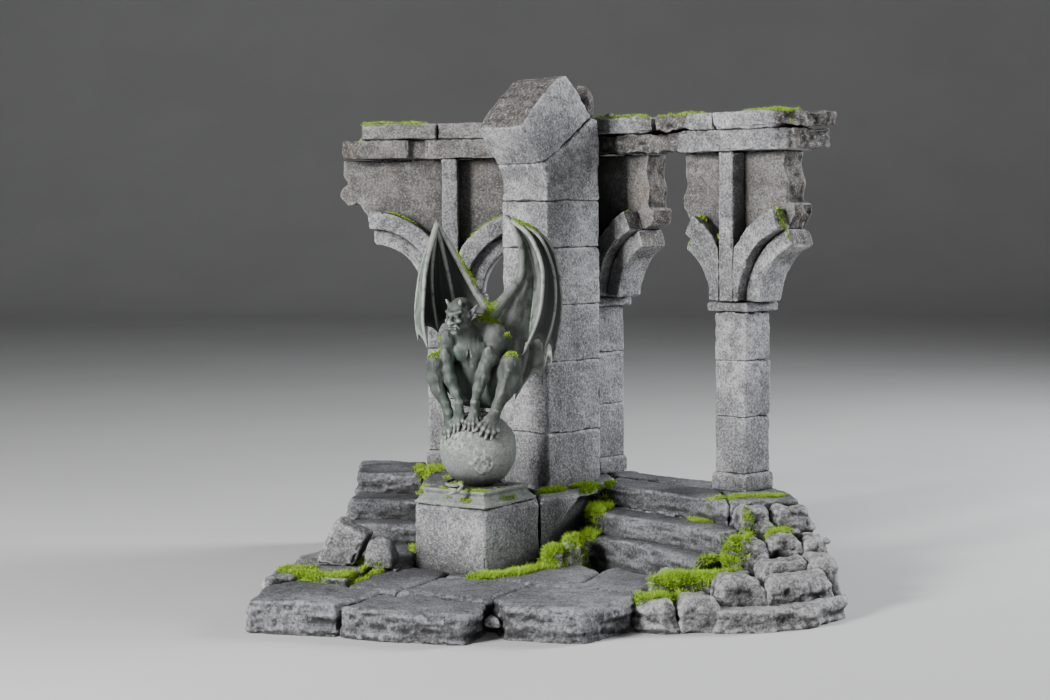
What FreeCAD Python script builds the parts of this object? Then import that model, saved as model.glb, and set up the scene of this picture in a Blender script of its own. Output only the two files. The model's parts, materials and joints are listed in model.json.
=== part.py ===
import FreeCAD, Part
import math
import os
import Sketcher

# Miniature terrain ruin: a stone base with steps and a terrace, and four pieces that lift off it:
# a broken pier, an arcade wing on each side of it, and a winged statue on a globe.
# Millimetres, +Z up, origin on the ground under the middle of the base, front towards -Y.

Vector = FreeCAD.Vector
Rotation = FreeCAD.Rotation
Placement = FreeCAD.Placement

doc = FreeCAD.newDocument("terrain_ruin")
sheet = doc.addObject("Spreadsheet::Sheet", "dims")

SIZES = [
    # heights of the levels above the ground
    ("ground", 0.0), ("core_level", 6.0), ("paving_level", 18.2), ("low_slab_level", 16.6),
    ("gap_stone_level", 11.6), ("mound_level", 21.2), ("first_step", 30.8),
    ("second_step", 43.4), ("terrace_level", 56.0), ("terrace_bed", 44.0),
    ("joint_gap", 0.8), ("stone_edge", 1.2), ("bed_gap", 0.2), ("thin_gap", 0.1),
    ("cave_depth", 16.0),
    # columns: sides, heights of the joints
    ("shaft_side", 24.2), ("left_shaft_width", 34.0), ("base_side", 27.0), ("collar_side", 31.2),
    ("base_block_top", 62.9), ("base_mould_top", 67.2), ("first_joint", 102.2),
    ("second_joint", 136.5), ("collar_bottom", 166.4), ("spring_level", 172.4),
    ("mould_taper", 1.3), ("collar_edge", 1.0),
    # arches
    ("arch_centre_level", 171.6), ("right_half_span", 57.5), ("left_half_span", 54.6),
    ("right_inner_radius", 37.7), ("right_step_radius", 48.7), ("right_ring_radius", 62.0),
    ("left_inner_radius", 35.1), ("left_step_radius", 45.5), ("left_ring_radius", 57.2),
    ("respond_offset", 6.5), ("respond_reach", 15.7), ("strip_half", 5.3), ("wall_front", 17.0),
    ("panel_front", 4.0), ("order_front", 9.0), ("wall_back", 14.0), ("fit_gap", 0.2),
    ("left_wall_reach", 69.0),
    # cornice
    ("cornice_bottom", 264.0), ("cornice_joint", 277.0), ("cornice_top", 287.5),
    ("lower_front", 18.5), ("upper_front", 22.0), ("lower_back", 16.0), ("upper_back", 18.5),
    # pier
    ("pier_width", 39.0), ("pier_depth", 48.0), ("pier_course_a", 90.1), ("pier_course_b", 134.9),
    ("pier_course_c", 170.3), ("pier_course_d", 205.8), ("pier_course_e", 235.0),
    ("pier_edge", 0.9), ("pier_top", 312.4),
    # dowels and magnets
    ("dowel_radius", 4.0), ("socket_radius", 4.4), ("pier_dowel_radius", 6.0),
    ("pier_socket_radius", 6.4), ("dowel_bottom", 36.0), ("dowel_top", 80.0),
    ("socket_bottom", 35.0), ("glue_gap", 0.05), ("magnet_radius", 4.0), ("magnet_depth", 3.0),
    ("magnet_level", 232.0), ("magnet_setback", 5.0), ("socket_overrun", 2.0),
    # middle of the whole, on the plan
    ("middle_x", 1.09), ("middle_y", -5.4),
    # statue
    ("head_width", 6.6), ("head_length", 8.4), ("head_height", 9.0),
    ("cap_side", 52.0), ("cap_foot", 3.4), ("cap_top_side", 46.0), ("cap_top", 65.8),
    ("globe_radius", 23.3), ("globe_level", 87.4), ("peg_radius", 4.0), ("peg_bottom", 46.0),
    ("peg_top", 60.0), ("wing_thickness", 2.6),
]
for row, (name, value) in enumerate(SIZES, start=1):
    sheet.set("A%d" % row, name)
    sheet.set("B%d" % row, str(value))
    sheet.setAlias("B%d" % row, name)
doc.recompute()


def size(name):
    return float(getattr(sheet, name))


# ---------------------------------------------------------------- helpers

kept = []
PLANE_ROLE = {"XY": "XY_Plane", "XZ": "XZ_Plane", "YZ": "YZ_Plane"}


def keep(thing, label):
    thing.Label = label
    kept.append(thing)
    return thing


def plane_of(body, plane):
    for feature in body.Origin.OriginFeatures:
        if feature.Role == PLANE_ROLE[plane]:
            return feature
    raise RuntimeError("no plane " + plane)


def new_sketch(body, plane, offset=None):
    sketch = body.newObject("Sketcher::SketchObject", "sketch")
    sketch.AttachmentSupport = [(plane_of(body, plane), "")]
    sketch.MapMode = "FlatFace"
    if offset:
        sketch.setExpression("AttachmentOffset.Base.z", offset)
    return sketch


def draw_loop(sketch, points):
    for first, second in zip(points, points[1:] + points[:1]):
        sketch.addGeometry(Part.LineSegment(Vector(first[0], first[1], 0),
                                            Vector(second[0], second[1], 0)), False)
    count = len(points)
    for index in range(count):
        sketch.addConstraint(Sketcher.Constraint("Coincident", index, 2, (index + 1) % count, 1))


def pad_body(name, plane, points, start, length):
    """A body padded from a closed outline. start and length are expressions on the sheet."""
    body = doc.addObject("PartDesign::Body", name)
    sketch = new_sketch(body, plane, start)
    draw_loop(sketch, points)
    pad = body.newObject("PartDesign::Pad", "pad")
    pad.Profile = sketch
    pad.setExpression("Length", length)
    body.Tip = pad
    doc.recompute()
    return body


def edges_at(shape, level, tolerance=0.01):
    names = []
    for index, edge in enumerate(shape.Edges, start=1):
        if all(abs(vertex.Point.z - level) < tolerance for vertex in edge.Vertexes):
            names.append("Edge%d" % index)
    return names


def chamfer_top(body, amount):
    """Breaks the edges around the top face, as wear and the mould's draft do."""
    base = body.Tip
    top = base.Shape.BoundBox.ZMax
    chamfer = body.newObject("PartDesign::Chamfer", "worn_edge")
    chamfer.Base = (base, edges_at(base.Shape, top))
    chamfer.setExpression("Size", amount)
    body.Tip = chamfer
    doc.recompute()
    return body


def shrink(points, gap):
    """Moves each side of an anticlockwise or clockwise outline inwards by gap."""
    area = sum(a[0] * b[1] - b[0] * a[1] for a, b in zip(points, points[1:] + points[:1]))
    turn = 1.0 if area > 0 else -1.0
    count = len(points)
    moved = []
    for index in range(count):
        before, here, after = points[index - 1], points[index], points[(index + 1) % count]
        first = unit((here[0] - before[0], here[1] - before[1]))
        second = unit((after[0] - here[0], after[1] - here[1]))
        normal_one = (-first[1] * turn, first[0] * turn)
        normal_two = (-second[1] * turn, second[0] * turn)
        scale = 1.0 + normal_one[0] * normal_two[0] + normal_one[1] * normal_two[1]
        scale = max(scale, 0.35)
        moved.append((here[0] + gap * (normal_one[0] + normal_two[0]) / scale,
                      here[1] + gap * (normal_one[1] + normal_two[1]) / scale))
    return moved


def unit(pair):
    length = math.hypot(pair[0], pair[1])
    return (pair[0] / length, pair[1] / length)


def stone(label, outline, bottom, top):
    """A flat-bedded stone between two levels of the sheet, with a worn top edge."""
    points = shrink(outline, size("joint_gap") / 2)
    body = pad_body(label, "XY", points, bottom, top + " - " + bottom)
    chamfer_top(body, "dims.stone_edge")
    return keep(body, label)


def piece(label):
    return [thing for thing in kept if thing.Label == label][0]


def carved(label, base, tools):
    """base with the tools cut out of it, kept as one named piece."""
    cut = doc.addObject("Part::Cut", label)
    if len(tools) == 1:
        cutter = tools[0]
    else:
        cutter = doc.addObject("Part::MultiFuse", "cutter")
        cutter.Shapes = tools
    cut.Base = base
    cut.Tool = cutter
    doc.recompute()
    if base in kept:
        kept.remove(base)
        base.Label = label + "_blank"
    return keep(cut, label)


def cylinder(radius, height, position, direction=None):
    """A Part cylinder whose radius and height follow the sheet."""
    rod = doc.addObject("Part::Cylinder", "rod")
    rod.setExpression("Radius", radius)
    rod.setExpression("Height", height)
    turn = Rotation(Vector(0, 0, 1), direction) if direction else Rotation()
    rod.Placement = Placement(position, turn)
    doc.recompute()
    return rod


def box(width, depth, height, position, place=None):
    """A Part box centred on its own X and Y, whose sizes follow the sheet."""
    block = doc.addObject("Part::Box", "block")
    block.setExpression("Length", width)
    block.setExpression("Width", depth)
    block.setExpression("Height", height)
    doc.recompute()
    centred = Placement(Vector(position.x - block.Length.Value / 2,
                               position.y - block.Width.Value / 2, position.z), Rotation())
    block.Placement = place.multiply(centred) if place else centred
    doc.recompute()
    return block


def solid_feature(label, shape):
    feature = doc.addObject("Part::Feature", label)
    feature.Shape = shape
    feature.Placement = Placement(Vector(0, 0, 0), Rotation())
    return keep(feature, label)


def biggest(shape):
    return max(shape.Solids, key=lambda solid: solid.Volume)


def gathered(label, members):
    """Several separate solids of the same kind, kept as one named group."""
    for member in members:
        if member in kept:
            kept.remove(member)
        if member.Label == label:
            member.Label = label + "_part"
    group = doc.addObject("Part::Compound", label)
    group.Links = members
    doc.recompute()
    return keep(group, label)


# ---------------------------------------------------------------- where things stand

RIGHT_TURN = -45.0
LEFT_TURN = -8.0
right_axis = Vector(117.8, 8.3, 0)
left_axis = Vector(-63.5, 138.25, 0)
right_wall = Placement(right_axis, Rotation(Vector(0, 0, 1), RIGHT_TURN))
left_wall = Placement(left_axis, Rotation(Vector(0, 0, 1), LEFT_TURN))
respond_along = -2 * size("right_half_span")
respond_axis = respond_along - size("respond_offset")
pier_right = -89.6
pier_left = pier_right - size("pier_width")
pier_front = -80.4
pier_back = pier_front + size("pier_depth")
statue_spot = Vector(-46.5, -35.3, 0)
statue_turn = Placement(statue_spot, Rotation(Vector(0, 0, 1), -35.2))
pier_spot = right_wall.multVec(Vector((pier_left + pier_right) / 2,
                                      (pier_front + pier_back) / 2, 0))
respond_spot = right_wall.multVec(Vector(respond_axis, 0, 0))

# ---------------------------------------------------------------- base: core plate

core_outline = [(-158, -128), (-118, -140), (-56, -160), (-44, -146), (-22, -146), (12, -160),
                (40, -130), (108, -132), (138, -116), (143, -84), (138, -36), (136, 10),
                (26, 106), (-16, 146), (-116, 146), (-120, 30), (-142, -20), (-150, -70)]
keep(pad_body("base_core", "XY", core_outline, "dims.ground", "dims.core_level"), "base_core")
core_form = pad_body("core_form", "XY", core_outline, "dims.ground", "dims.core_level")

terrace_fill = stone("terrace_core", [(-82.6, 40), (-30, 40), (-12, 24), (31, 29), (101, -45),
                                      (140, -34), (139, 5), (9, 135), (-12, 155), (-82.6, 155)],
                     "dims.core_level", "dims.terrace_bed")

# ---------------------------------------------------------------- base: paving


def outer_stone(label, outline, top):
    """A stone at the rim: it reaches the ground outside the core plate and rests on the plate."""
    body = stone(label, outline, "dims.ground", top)
    return carved(label, body, [core_form])


outer_stone("front_slab_left", [(-170.5, -141), (-165.5, -99), (-146, -82), (-118, -103),
                                (-97, -117.5), (-120, -154.5)], "dims.paving_level")
outer_stone("front_slab_middle", [(-119.5, -155), (-96.5, -118), (-89, -126.5), (-77, -124),
                                  (-39, -148), (-41, -160), (-50, -176.5), (-60, -176.8),
                                  (-95, -166)], "dims.low_slab_level")
outer_stone("front_slab_right", [(-36.5, -141), (-12.5, -107), (-7, -105.5), (48, -127.5),
                                 (40, -147), (14, -177), (-9, -171.5), (-29.5, -164.5)],
            "dims.paving_level")
stone("gap_stone", [(-40.5, -162), (-39, -148.5), (-36.8, -142), (-30, -163.5)],
      "dims.core_level", "dims.gap_stone_level")
stone("paving_slab_left", [(-118.5, -101.5), (-95.5, -116), (-90.5, -120.5), (-67.5, -76),
                           (-62, -58), (-84, -44.5), (-104, -50)],
      "dims.core_level", "dims.paving_level")
stone("paving_slab_middle", [(-89.5, -121.5), (-76, -122), (-40, -145), (-13.5, -98),
                             (-39.5, -86.5), (-66, -76)], "dims.core_level",
      "dims.paving_level")
stone("paving_slab_back", [(-65, -75), (-39, -85.5), (-13, -96.5), (13.5, -95), (27, -60),
                           (8, -18), (-38.5, -70.9), (-61, -57)], "dims.core_level",
      "dims.paving_level")
stone("paving_slab_right", [(-12, -106), (-12.5, -98), (14.5, -95.5), (27.5, -60.5), (36, -48),
                            (61, -88), (49, -126), (-6, -104.5)], "dims.core_level",
      "dims.paving_level")

# ---------------------------------------------------------------- base: left side

outer_stone("left_mound_rock", [(-166.5, -97), (-146.5, -80), (-119, -98), (-105.5, -50.5),
                                (-108, -6), (-128, 30), (-139, 20), (-154, -25), (-165, -70)],
            "dims.mound_level")
outer_stone("left_floor_slab", [(-105, -49.5), (-84, -43.5), (-83.5, 33), (-127, 31),
                                (-107, -5)], "dims.paving_level")
outer_stone("left_step_lower", [(-126, 36), (-83.4, 33.5), (-83.4, 56), (-132, 60)],
            "dims.first_step")
outer_stone("left_step_upper", [(-132, 60.6), (-83.4, 56.6), (-83.4, 86), (-129, 96)],
            "dims.second_step")
outer_stone("left_landing", [(-129, 96.6), (-83.4, 86.6), (-83.4, 158), (-131, 158)],
            "dims.terrace_level")

# ---------------------------------------------------------------- base: right flight

outer_stone("right_step_lower", [(17, -9), (52, -47), (79, -101), (94.5, -87), (73.8, -54.5),
                                 (18, 8)], "dims.first_step")
outer_stone("right_step_middle", [(18, 9), (74.5, -54), (95, -86.4), (107, -70), (102.5, -49),
                                  (32, 27.5)], "dims.second_step")
outer_stone("right_landing_front", [(32.5, 28.5), (103, -48.5), (104.5, 1), (61, 46), (42, 60)],
            "dims.terrace_level")
outer_stone("right_landing_end", [(104, -48.5), (147, -38), (144, 2), (135, 13.5),
                                  (105.6, 43), (61.8, 46.3), (105.3, 1.4)],
            "dims.terrace_level")
outer_stone("right_landing_back", [(42.5, 60.5), (61.5, 47), (105, 43.6), (63, 85.6),
                                   (39, 84)], "dims.terrace_level")

# ---------------------------------------------------------------- base: terrace

stone("pedestal_block", [(-82.6, -43.5), (-40.6, -70.0), (-8.9, -35.3), (-14, 23),
                                    (-30, 39), (-82.6, 39)],
                 "dims.core_level", "dims.terrace_level")
side_block = stone("pedestal_side_block", [(-8.4, -34.8), (17, -1.1), (30.8, 27.2),
                                           (-12, 22.2)],
                   "dims.core_level", "dims.terrace_level")
cave = doc.addObject("PartDesign::Body", "cave")
cave_sketch = new_sketch(cave, "YZ")
draw_loop(cave_sketch, [(-40, 5), (-40, 20), (-32, 22), (12, 52), (40, 52), (40, 5)])
cave_pad = cave.newObject("PartDesign::Pad", "pad")
cave_pad.Profile = cave_sketch
cave_pad.setExpression("Length", "dims.cave_depth")
cave.Tip = cave_pad
cave.Placement = Placement(Vector(2, -4, 0), Rotation(Vector(0, 0, 1), -36.6))
doc.recompute()
side_block = carved("pedestal_side_block", side_block, [cave])

outer_stone("terrace_slab_left", [(-82.6, 40), (-30, 40), (-12, 24), (2, 23.5), (4, 100),
                                  (-82.6, 100)], "dims.terrace_level")
outer_stone("terrace_slab_middle", [(2.6, 23.8), (31.4, 28.6), (41.5, 60.5), (38, 84.3),
                                    (62.4, 86.2), (26, 122.5), (4.6, 100)],
            "dims.terrace_level")
outer_stone("terrace_slab_back", [(-82.6, 100.6), (4, 100.6), (25.5, 123), (4, 145.5),
                                  (-8, 158), (-82.6, 158)], "dims.terrace_level")

# ---------------------------------------------------------------- base: rubble and boulders


def boulder(label, outline, low, top, wear=1.0):
    """A rough rock: narrow at its bed, widest at a third of its height, narrower on top."""
    rise = top - low
    levels = [(low, 0.9), (low + 0.30 * rise, 0.4), (low + 0.72 * rise, 1.6), (top, 4.2)]
    wires = []
    for level, inset in levels:
        points = [Vector(px, py, level) for px, py in shrink(outline, inset * wear)]
        wires.append(Part.makePolygon(points + points[:1]))
    shape = Part.makeLoft(wires, True, True)
    if not shape.isValid():
        raise RuntimeError("the rock folds over itself: " + label)
    return solid_feature(label, shape)


def rest_on(feature, *lower):
    """Trims a rock to the stones under it, so that it beds on them."""
    shape = feature.Shape.copy()
    for other in lower:
        shape = shape.cut(other.Shape)
    feature.Shape = biggest(shape)
    return feature


fallen_width, fallen_depth, fallen_height = 21.0, 15.0, 34.0
fallen_lean = Rotation(Vector(0, 0, 1), -16).multiply(Rotation(Vector(0, 1, 0), 24))
leaning = Part.makeBox(fallen_width, fallen_depth, fallen_height)
leaning.Placement = Placement(Vector(-143, -50, 17.5), fallen_lean)
for under in ("left_mound_rock", "left_floor_slab"):
    leaning = leaning.cut(piece(under).Shape)
solid_feature("fallen_block", biggest(leaning))

bed = size("core_level")
floor = size("ground")
on_paving = size("paving_level") + size("thin_gap")
boulder("small_block", [(-112, -60), (-96, -63), (-91, -48), (-108, -44)],
        size("mound_level") + size("thin_gap"), 37.0)
rest_on(kept[-1], piece("left_mound_rock"), piece("left_floor_slab"),
        piece("paving_slab_left"))

boulder("bank_rock_upper_left", [(104.5, -49.6), (125.5, -44.6), (128, -61), (108.5, -68)],
        bed, 51.0)
boulder("bank_rock_upper_right", [(126.5, -43.8), (147, -38.8), (154, -54), (129.2, -61)],
        bed, 50.0)
boulder("bank_rock_step_end", [(96.4, -88), (107.8, -71), (119.5, -69), (121, -87), (112, -96),
                               (101, -98)], bed, 38.5)
boulder("bank_rock_middle", [(120.7, -62.2), (139.5, -59.5), (141.5, -82), (122.3, -86)],
        bed, 40.0)
boulder("bank_rock_right", [(140.6, -59.2), (154.4, -55), (159, -84), (142.6, -84)],
        bed, 36.5)
boulder("bank_rock_moss_bed", [(62.5, -93), (79, -102), (100, -99.5), (111.5, -97.5),
                               (108, -116), (86, -119), (52, -127)], bed, 23.0)
boulder("bank_rock_front", [(113, -96.5), (122, -87.6), (141, -85.2), (141, -104), (118.5, -112)],
        bed, 29.0)
boulder("bank_rock_corner", [(142.2, -85.5), (159, -85.2), (158, -106), (142.2, -105)],
        bed, 29.0)
boulder("bank_rock_flat", [(87.5, -120), (109, -117.5), (115, -130.5), (90, -134)],
        bed, 25.5)
boulder("bank_rock_low_right", [(116, -113.5), (139, -106), (155, -107.5), (139, -124),
                                (118, -131)], bed, 24.0)
boulder("kerb_rock_left", [(40.5, -143), (50, -129), (62, -129), (65, -151), (55, -154.5)],
        floor, 16.5)
boulder("kerb_rock_right", [(66, -151.5), (63.5, -129), (85, -121.5), (87.5, -149)],
        floor, 17.5)
boulder("edge_plinth", [(88.5, -150), (89.5, -134.8), (116, -132), (139.5, -124.8),
                        (156.5, -107.8), (159.5, -109), (157, -118), (139, -139),
                        (111, -150.5)], floor, 11.5, 0.45)
for rock in kept[-13:]:
    rest_on(rock, core_form)
rest_on(piece("bank_rock_moss_bed"), piece("right_step_lower"), piece("paving_slab_right"),
        piece("front_slab_right"))
rest_on(piece("kerb_rock_left"), piece("front_slab_right"), piece("paving_slab_right"),
        piece("bank_rock_moss_bed"))
rest_on(piece("kerb_rock_right"), piece("bank_rock_moss_bed"))

boulder("cave_rubble_large", [(6, -44), (16, -40), (17, -28), (6, -27)], on_paving, 33.0)
boulder("cave_rubble_small", [(-6, -52), (4, -50), (4, -39), (-5, -39)], on_paving, 27.5)
for rock in kept[-2:]:
    rest_on(rock, piece("paving_slab_back"), piece("pedestal_block"),
            piece("pedestal_side_block"), piece("right_step_lower"))

# ---------------------------------------------------------------- base: sockets

sockets = {
    "left": (left_axis, "dims.socket_radius"),
    "respond": (respond_spot, "dims.socket_radius"),
    "right": (right_axis, "dims.socket_radius"),
    "pier": (pier_spot, "dims.pier_socket_radius"),
    "statue": (statue_spot, "dims.socket_radius"),
}


def socket_tool(name):
    spot, radius = sockets[name]
    return cylinder(radius, "dims.terrace_level - dims.socket_bottom + dims.socket_overrun",
                    Vector(spot.x, spot.y, size("socket_bottom")))


def bore_into(label, names):
    return carved(label, piece(label), [socket_tool(name) for name in names])


for label in ("terrace_slab_left", "terrace_slab_middle", "terrace_slab_back",
              "right_landing_front", "right_landing_end", "right_landing_back"):
    carved(label, piece(label), [terrace_fill])
bore_into("terrace_core", ["left", "respond", "right", "pier"])
bore_into("terrace_slab_left", ["pier"])
bore_into("terrace_slab_middle", ["respond", "pier"])
bore_into("terrace_slab_back", ["left"])
bore_into("right_landing_end", ["right"])
bore_into("pedestal_block", ["statue", "pier"])

# ---------------------------------------------------------------- columns


def column(prefix, spot, place, width, depth, extra_base, extra_collar):
    """A column: base block and moulding, three drums and a collar, and its steel dowel."""
    hole = cylinder("dims.dowel_radius + dims.glue_gap", "dims.dowel_top - dims.terrace_level",
                    Vector(spot.x, spot.y, size("terrace_level")))
    turned = Placement(spot, place.Rotation)
    foot = box("dims.base_side + " + extra_base, "dims.base_side",
               "dims.base_block_top - dims.terrace_level",
               Vector(0, 0, size("terrace_level")), turned)
    carved(prefix + "_base_block", foot, [hole])
    mould = doc.addObject("PartDesign::Body", prefix + "_moulding")
    half_width = size("base_side") / 2 + (width - size("shaft_side")) / 2
    half_depth = size("base_side") / 2
    sketch = new_sketch(mould, "XY", "dims.base_block_top")
    draw_loop(sketch, rectangle(half_width, half_depth))
    pad = mould.newObject("PartDesign::Pad", "pad")
    pad.Profile = sketch
    pad.setExpression("Length", "dims.base_mould_top - dims.base_block_top")
    mould.Tip = pad
    doc.recompute()
    chamfer_top(mould, "dims.mould_taper")
    mould.Placement = turned
    carved(prefix + "_base_moulding", mould, [hole])
    levels = ["base_mould_top", "first_joint", "second_joint", "collar_bottom"]
    for number, (low, high) in enumerate(zip(levels, levels[1:]), start=1):
        drum = pad_body("drum", "XY", rectangle(width / 2, depth / 2), "dims." + low,
                        "dims.%s - dims.%s - dims.bed_gap" % (high, low))
        drum.Placement = turned
        if number == 1:
            carved("%s_drum_%d" % (prefix, number), drum, [hole])
        else:
            keep(drum, "%s_drum_%d" % (prefix, number))
    half = size("collar_side") / 2
    collar = pad_body(prefix + "_collar", "XY",
                      rectangle(half + (width - size("shaft_side")) / 2 + extra_collar, half),
                      "dims.collar_bottom",
                      "dims.spring_level - dims.collar_bottom - dims.thin_gap")
    chamfer_top(collar, "dims.collar_edge")
    collar.Placement = turned
    keep(collar, prefix + "_collar")
    rod = cylinder("dims.dowel_radius", "dims.dowel_top - dims.dowel_bottom - dims.bed_gap",
                   Vector(spot.x, spot.y, size("dowel_bottom")))
    keep(rod, prefix + "_dowel")


def rectangle(half_width, half_depth):
    return [(-half_width, -half_depth), (half_width, -half_depth), (half_width, half_depth),
            (-half_width, half_depth)]


column("left_column", left_axis, left_wall, size("left_shaft_width"), size("shaft_side"),
       "dims.left_shaft_width - dims.shaft_side", 0.4)
column("respond_column", respond_spot, right_wall, size("shaft_side"), size("shaft_side"),
       "0", 0.0)
column("right_column", right_axis, right_wall, size("shaft_side"), size("shaft_side"), "0", 0.0)

# ---------------------------------------------------------------- arcades


def wall_slab(label, profile, back, front, place, circles):
    """A wall piece: an upright outline padded between two depths, with round cuts."""
    body = doc.addObject("PartDesign::Body", label)
    sketch = new_sketch(body, "XZ", "-(%s)" % back)
    draw_loop(sketch, profile)
    pad = body.newObject("PartDesign::Pad", "pad")
    pad.Profile = sketch
    pad.setExpression("Length", "%s + %s" % (back, front))
    body.Tip = pad
    doc.recompute()
    previous = pad
    for centre, radius in circles:
        cut_sketch = new_sketch(body, "XZ")
        cut_sketch.addGeometry(Part.Circle(Vector(centre, size("arch_centre_level"), 0),
                                           Vector(0, 0, 1), 10), False)
        cut_sketch.addConstraint(Sketcher.Constraint("Radius", 0, 10.0))
        cut_sketch.setExpression("Constraints[0]", radius)
        pocket = body.newObject("PartDesign::Pocket", "arch")
        pocket.Profile = cut_sketch
        pocket.Midplane = True
        pocket.Length = 400.0
        body.Tip = pocket
        doc.recompute()
        if pocket.Shape.Volume > previous.Shape.Volume - 1.0:
            raise RuntimeError("the arch cut nothing from " + label)
        previous = pocket
    body.Placement = place
    doc.recompute()
    return keep(body, label)


ARC_SIDES = 14


def arc_points(centre, radius, first, last):
    level = size("arch_centre_level")
    points = []
    for step in range(ARC_SIDES + 1):
        angle = math.radians(first + (last - first) * step / ARC_SIDES)
        points.append((centre + radius * math.cos(angle), level + radius * math.sin(angle)))
    return points


def arch_piece(label, centre, side, inner, outer, end_angle, limit, back, front, place):
    """One arch order from its springing to end_angle.

    side is +1 where the column stands on the right of the arch's centre, and limit is the
    nearest that the order may come to the column's own axis line."""
    start_level = size("spring_level") - size("arch_centre_level")
    lift = math.degrees(math.asin(start_level / inner))
    inside = arc_points(0.0, inner, lift, end_angle)
    if limit is None:
        first = math.degrees(math.asin(start_level / outer))
        outside = arc_points(0.0, outer, end_angle, first)
        corner = []
    else:
        first = math.degrees(math.acos(min(1.0, limit / outer)))
        outside = arc_points(0.0, outer, end_angle, first)
        corner = [(limit, size("spring_level"))]
    points = inside + outside + corner
    profile = [(centre + side * across, up) for across, up in points]
    return wall_slab(label, profile, back, front, place, [])


def magnet_pocket(place, along, sense):
    """A magnet's pocket and its disc, in the face at a distance along a wall; sense points in."""
    spot = place.multVec(Vector(along, size("magnet_setback"), size("magnet_level")))
    direction = place.Rotation.multVec(Vector(sense, 0, 0))
    tool = cylinder("dims.magnet_radius + dims.glue_gap", "dims.magnet_depth + dims.thin_gap",
                    spot, direction)
    disc = cylinder("dims.magnet_radius", "dims.magnet_depth - dims.thin_gap",
                    spot + direction * size("thin_gap"), direction)
    return tool, disc


# the back of what stands in front of the panels
PROUD = "-(dims.panel_front + dims.thin_gap)"
sill = size("spring_level")
soffit = size("cornice_bottom") - size("bed_gap")
gap = size("fit_gap")

# right arcade, the part on the end column
half_span = size("right_half_span")
panel_cut = "dims.right_step_radius + dims.fit_gap"
wall_slab("right_spandrel_panel",
          [(-30, sill), (30, sill), (33, 205), (38, 217), (43.5, 226), (42.5, 232), (36.5, 233),
           (37.5, 246), (34.5, 255), (36, soffit), (-43.5, soffit), (-43, 252), (-41.5, 243),
           (-45.5, 236), (-44, 229), (-38, 220), (-33, 211)],
          "dims.wall_back", "dims.panel_front", right_wall,
          [(-half_span, panel_cut), (half_span, panel_cut)])
RIGHT = dict(inner=size("right_inner_radius"), step=size("right_step_radius"),
             order=size("right_step_radius") - size("thin_gap"),
             outer=size("right_ring_radius"))
strip_limit = half_span - size("strip_half") - gap
arch_piece("right_arch_ring_a", -half_span, 1, RIGHT["step"], RIGHT["outer"], 60.0, strip_limit,
           PROUD, "dims.wall_front", right_wall)
arch_piece("right_arch_ring_b", half_span, -1, RIGHT["step"], RIGHT["outer"], 69.0, strip_limit,
           PROUD, "dims.wall_front", right_wall)
arch_piece("right_arch_soffit_a", -half_span, 1, RIGHT["inner"], RIGHT["order"], 60.0, None,
           "dims.wall_back", "dims.order_front", right_wall)
arch_piece("right_arch_soffit_b", half_span, -1, RIGHT["inner"], RIGHT["order"], 69.0, None,
           "dims.wall_back", "dims.order_front", right_wall)
half_strip = size("strip_half")
wall_slab("right_pilaster_strip",
          [(-half_strip, sill), (half_strip, sill), (half_strip, soffit), (-half_strip, soffit)],
          PROUD, "dims.wall_front", right_wall, [])

# right arcade, the part on the respond beside the pier
start = respond_axis - size("respond_reach")
respond_centre = respond_along + half_span
panel = wall_slab("respond_spandrel_panel",
                  [(start, sill), (respond_along + 30, sill), (respond_along + 34, 207),
                   (respond_along + 46, 221), (respond_along + 47, 229),
                   (respond_along + 41.5, 231), (respond_along + 43.5, 243),
                   (respond_along + 40.5, 252), (respond_along + 42.5, soffit),
                   (start, soffit)],
                  "dims.wall_back", "dims.panel_front", right_wall,
                  [(respond_centre, panel_cut)])
respond_tool, respond_disc = magnet_pocket(right_wall, start, 1)
carved("respond_spandrel_panel", panel, [respond_tool])
arch_piece("respond_arch_ring", respond_centre, -1, RIGHT["step"], RIGHT["outer"], 66.0,
           strip_limit + size("respond_offset"), PROUD, "dims.wall_front", right_wall)
arch_piece("respond_arch_soffit", respond_centre, -1, RIGHT["inner"], RIGHT["order"], 66.0,
           None, "dims.wall_back", "dims.order_front", right_wall)
wall_slab("respond_pilaster_strip",
          [(respond_axis - half_strip, sill), (respond_axis + half_strip, sill),
           (respond_axis + half_strip, soffit), (respond_axis - half_strip, soffit)],
          PROUD, "dims.wall_front", right_wall, [])


def cornice(label, outline, low, high, place):
    """A cornice course: a plan outline in the wall's own frame, between two levels."""
    body = pad_body(label, "XY", outline, "dims." + low,
                    "dims.%s - dims.%s - dims.thin_gap" % (high, low))
    body.Placement = place
    doc.recompute()
    return keep(body, label)


lower_front, lower_back = -size("lower_front"), size("lower_back")
upper_front, upper_back = -size("upper_front"), size("upper_back")
cornice("right_cornice_lower",
        [(start, lower_front + 1.3), (-73, lower_front + 1.3), (-66, lower_front + 4),
         (-52, lower_front + 3), (-45, lower_front), (37, lower_front), (41, lower_front + 5),
         (47, lower_front + 9), (53, lower_back - 7), (55, lower_back), (start, lower_back)],
        "cornice_bottom", "cornice_joint", right_wall)
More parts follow.
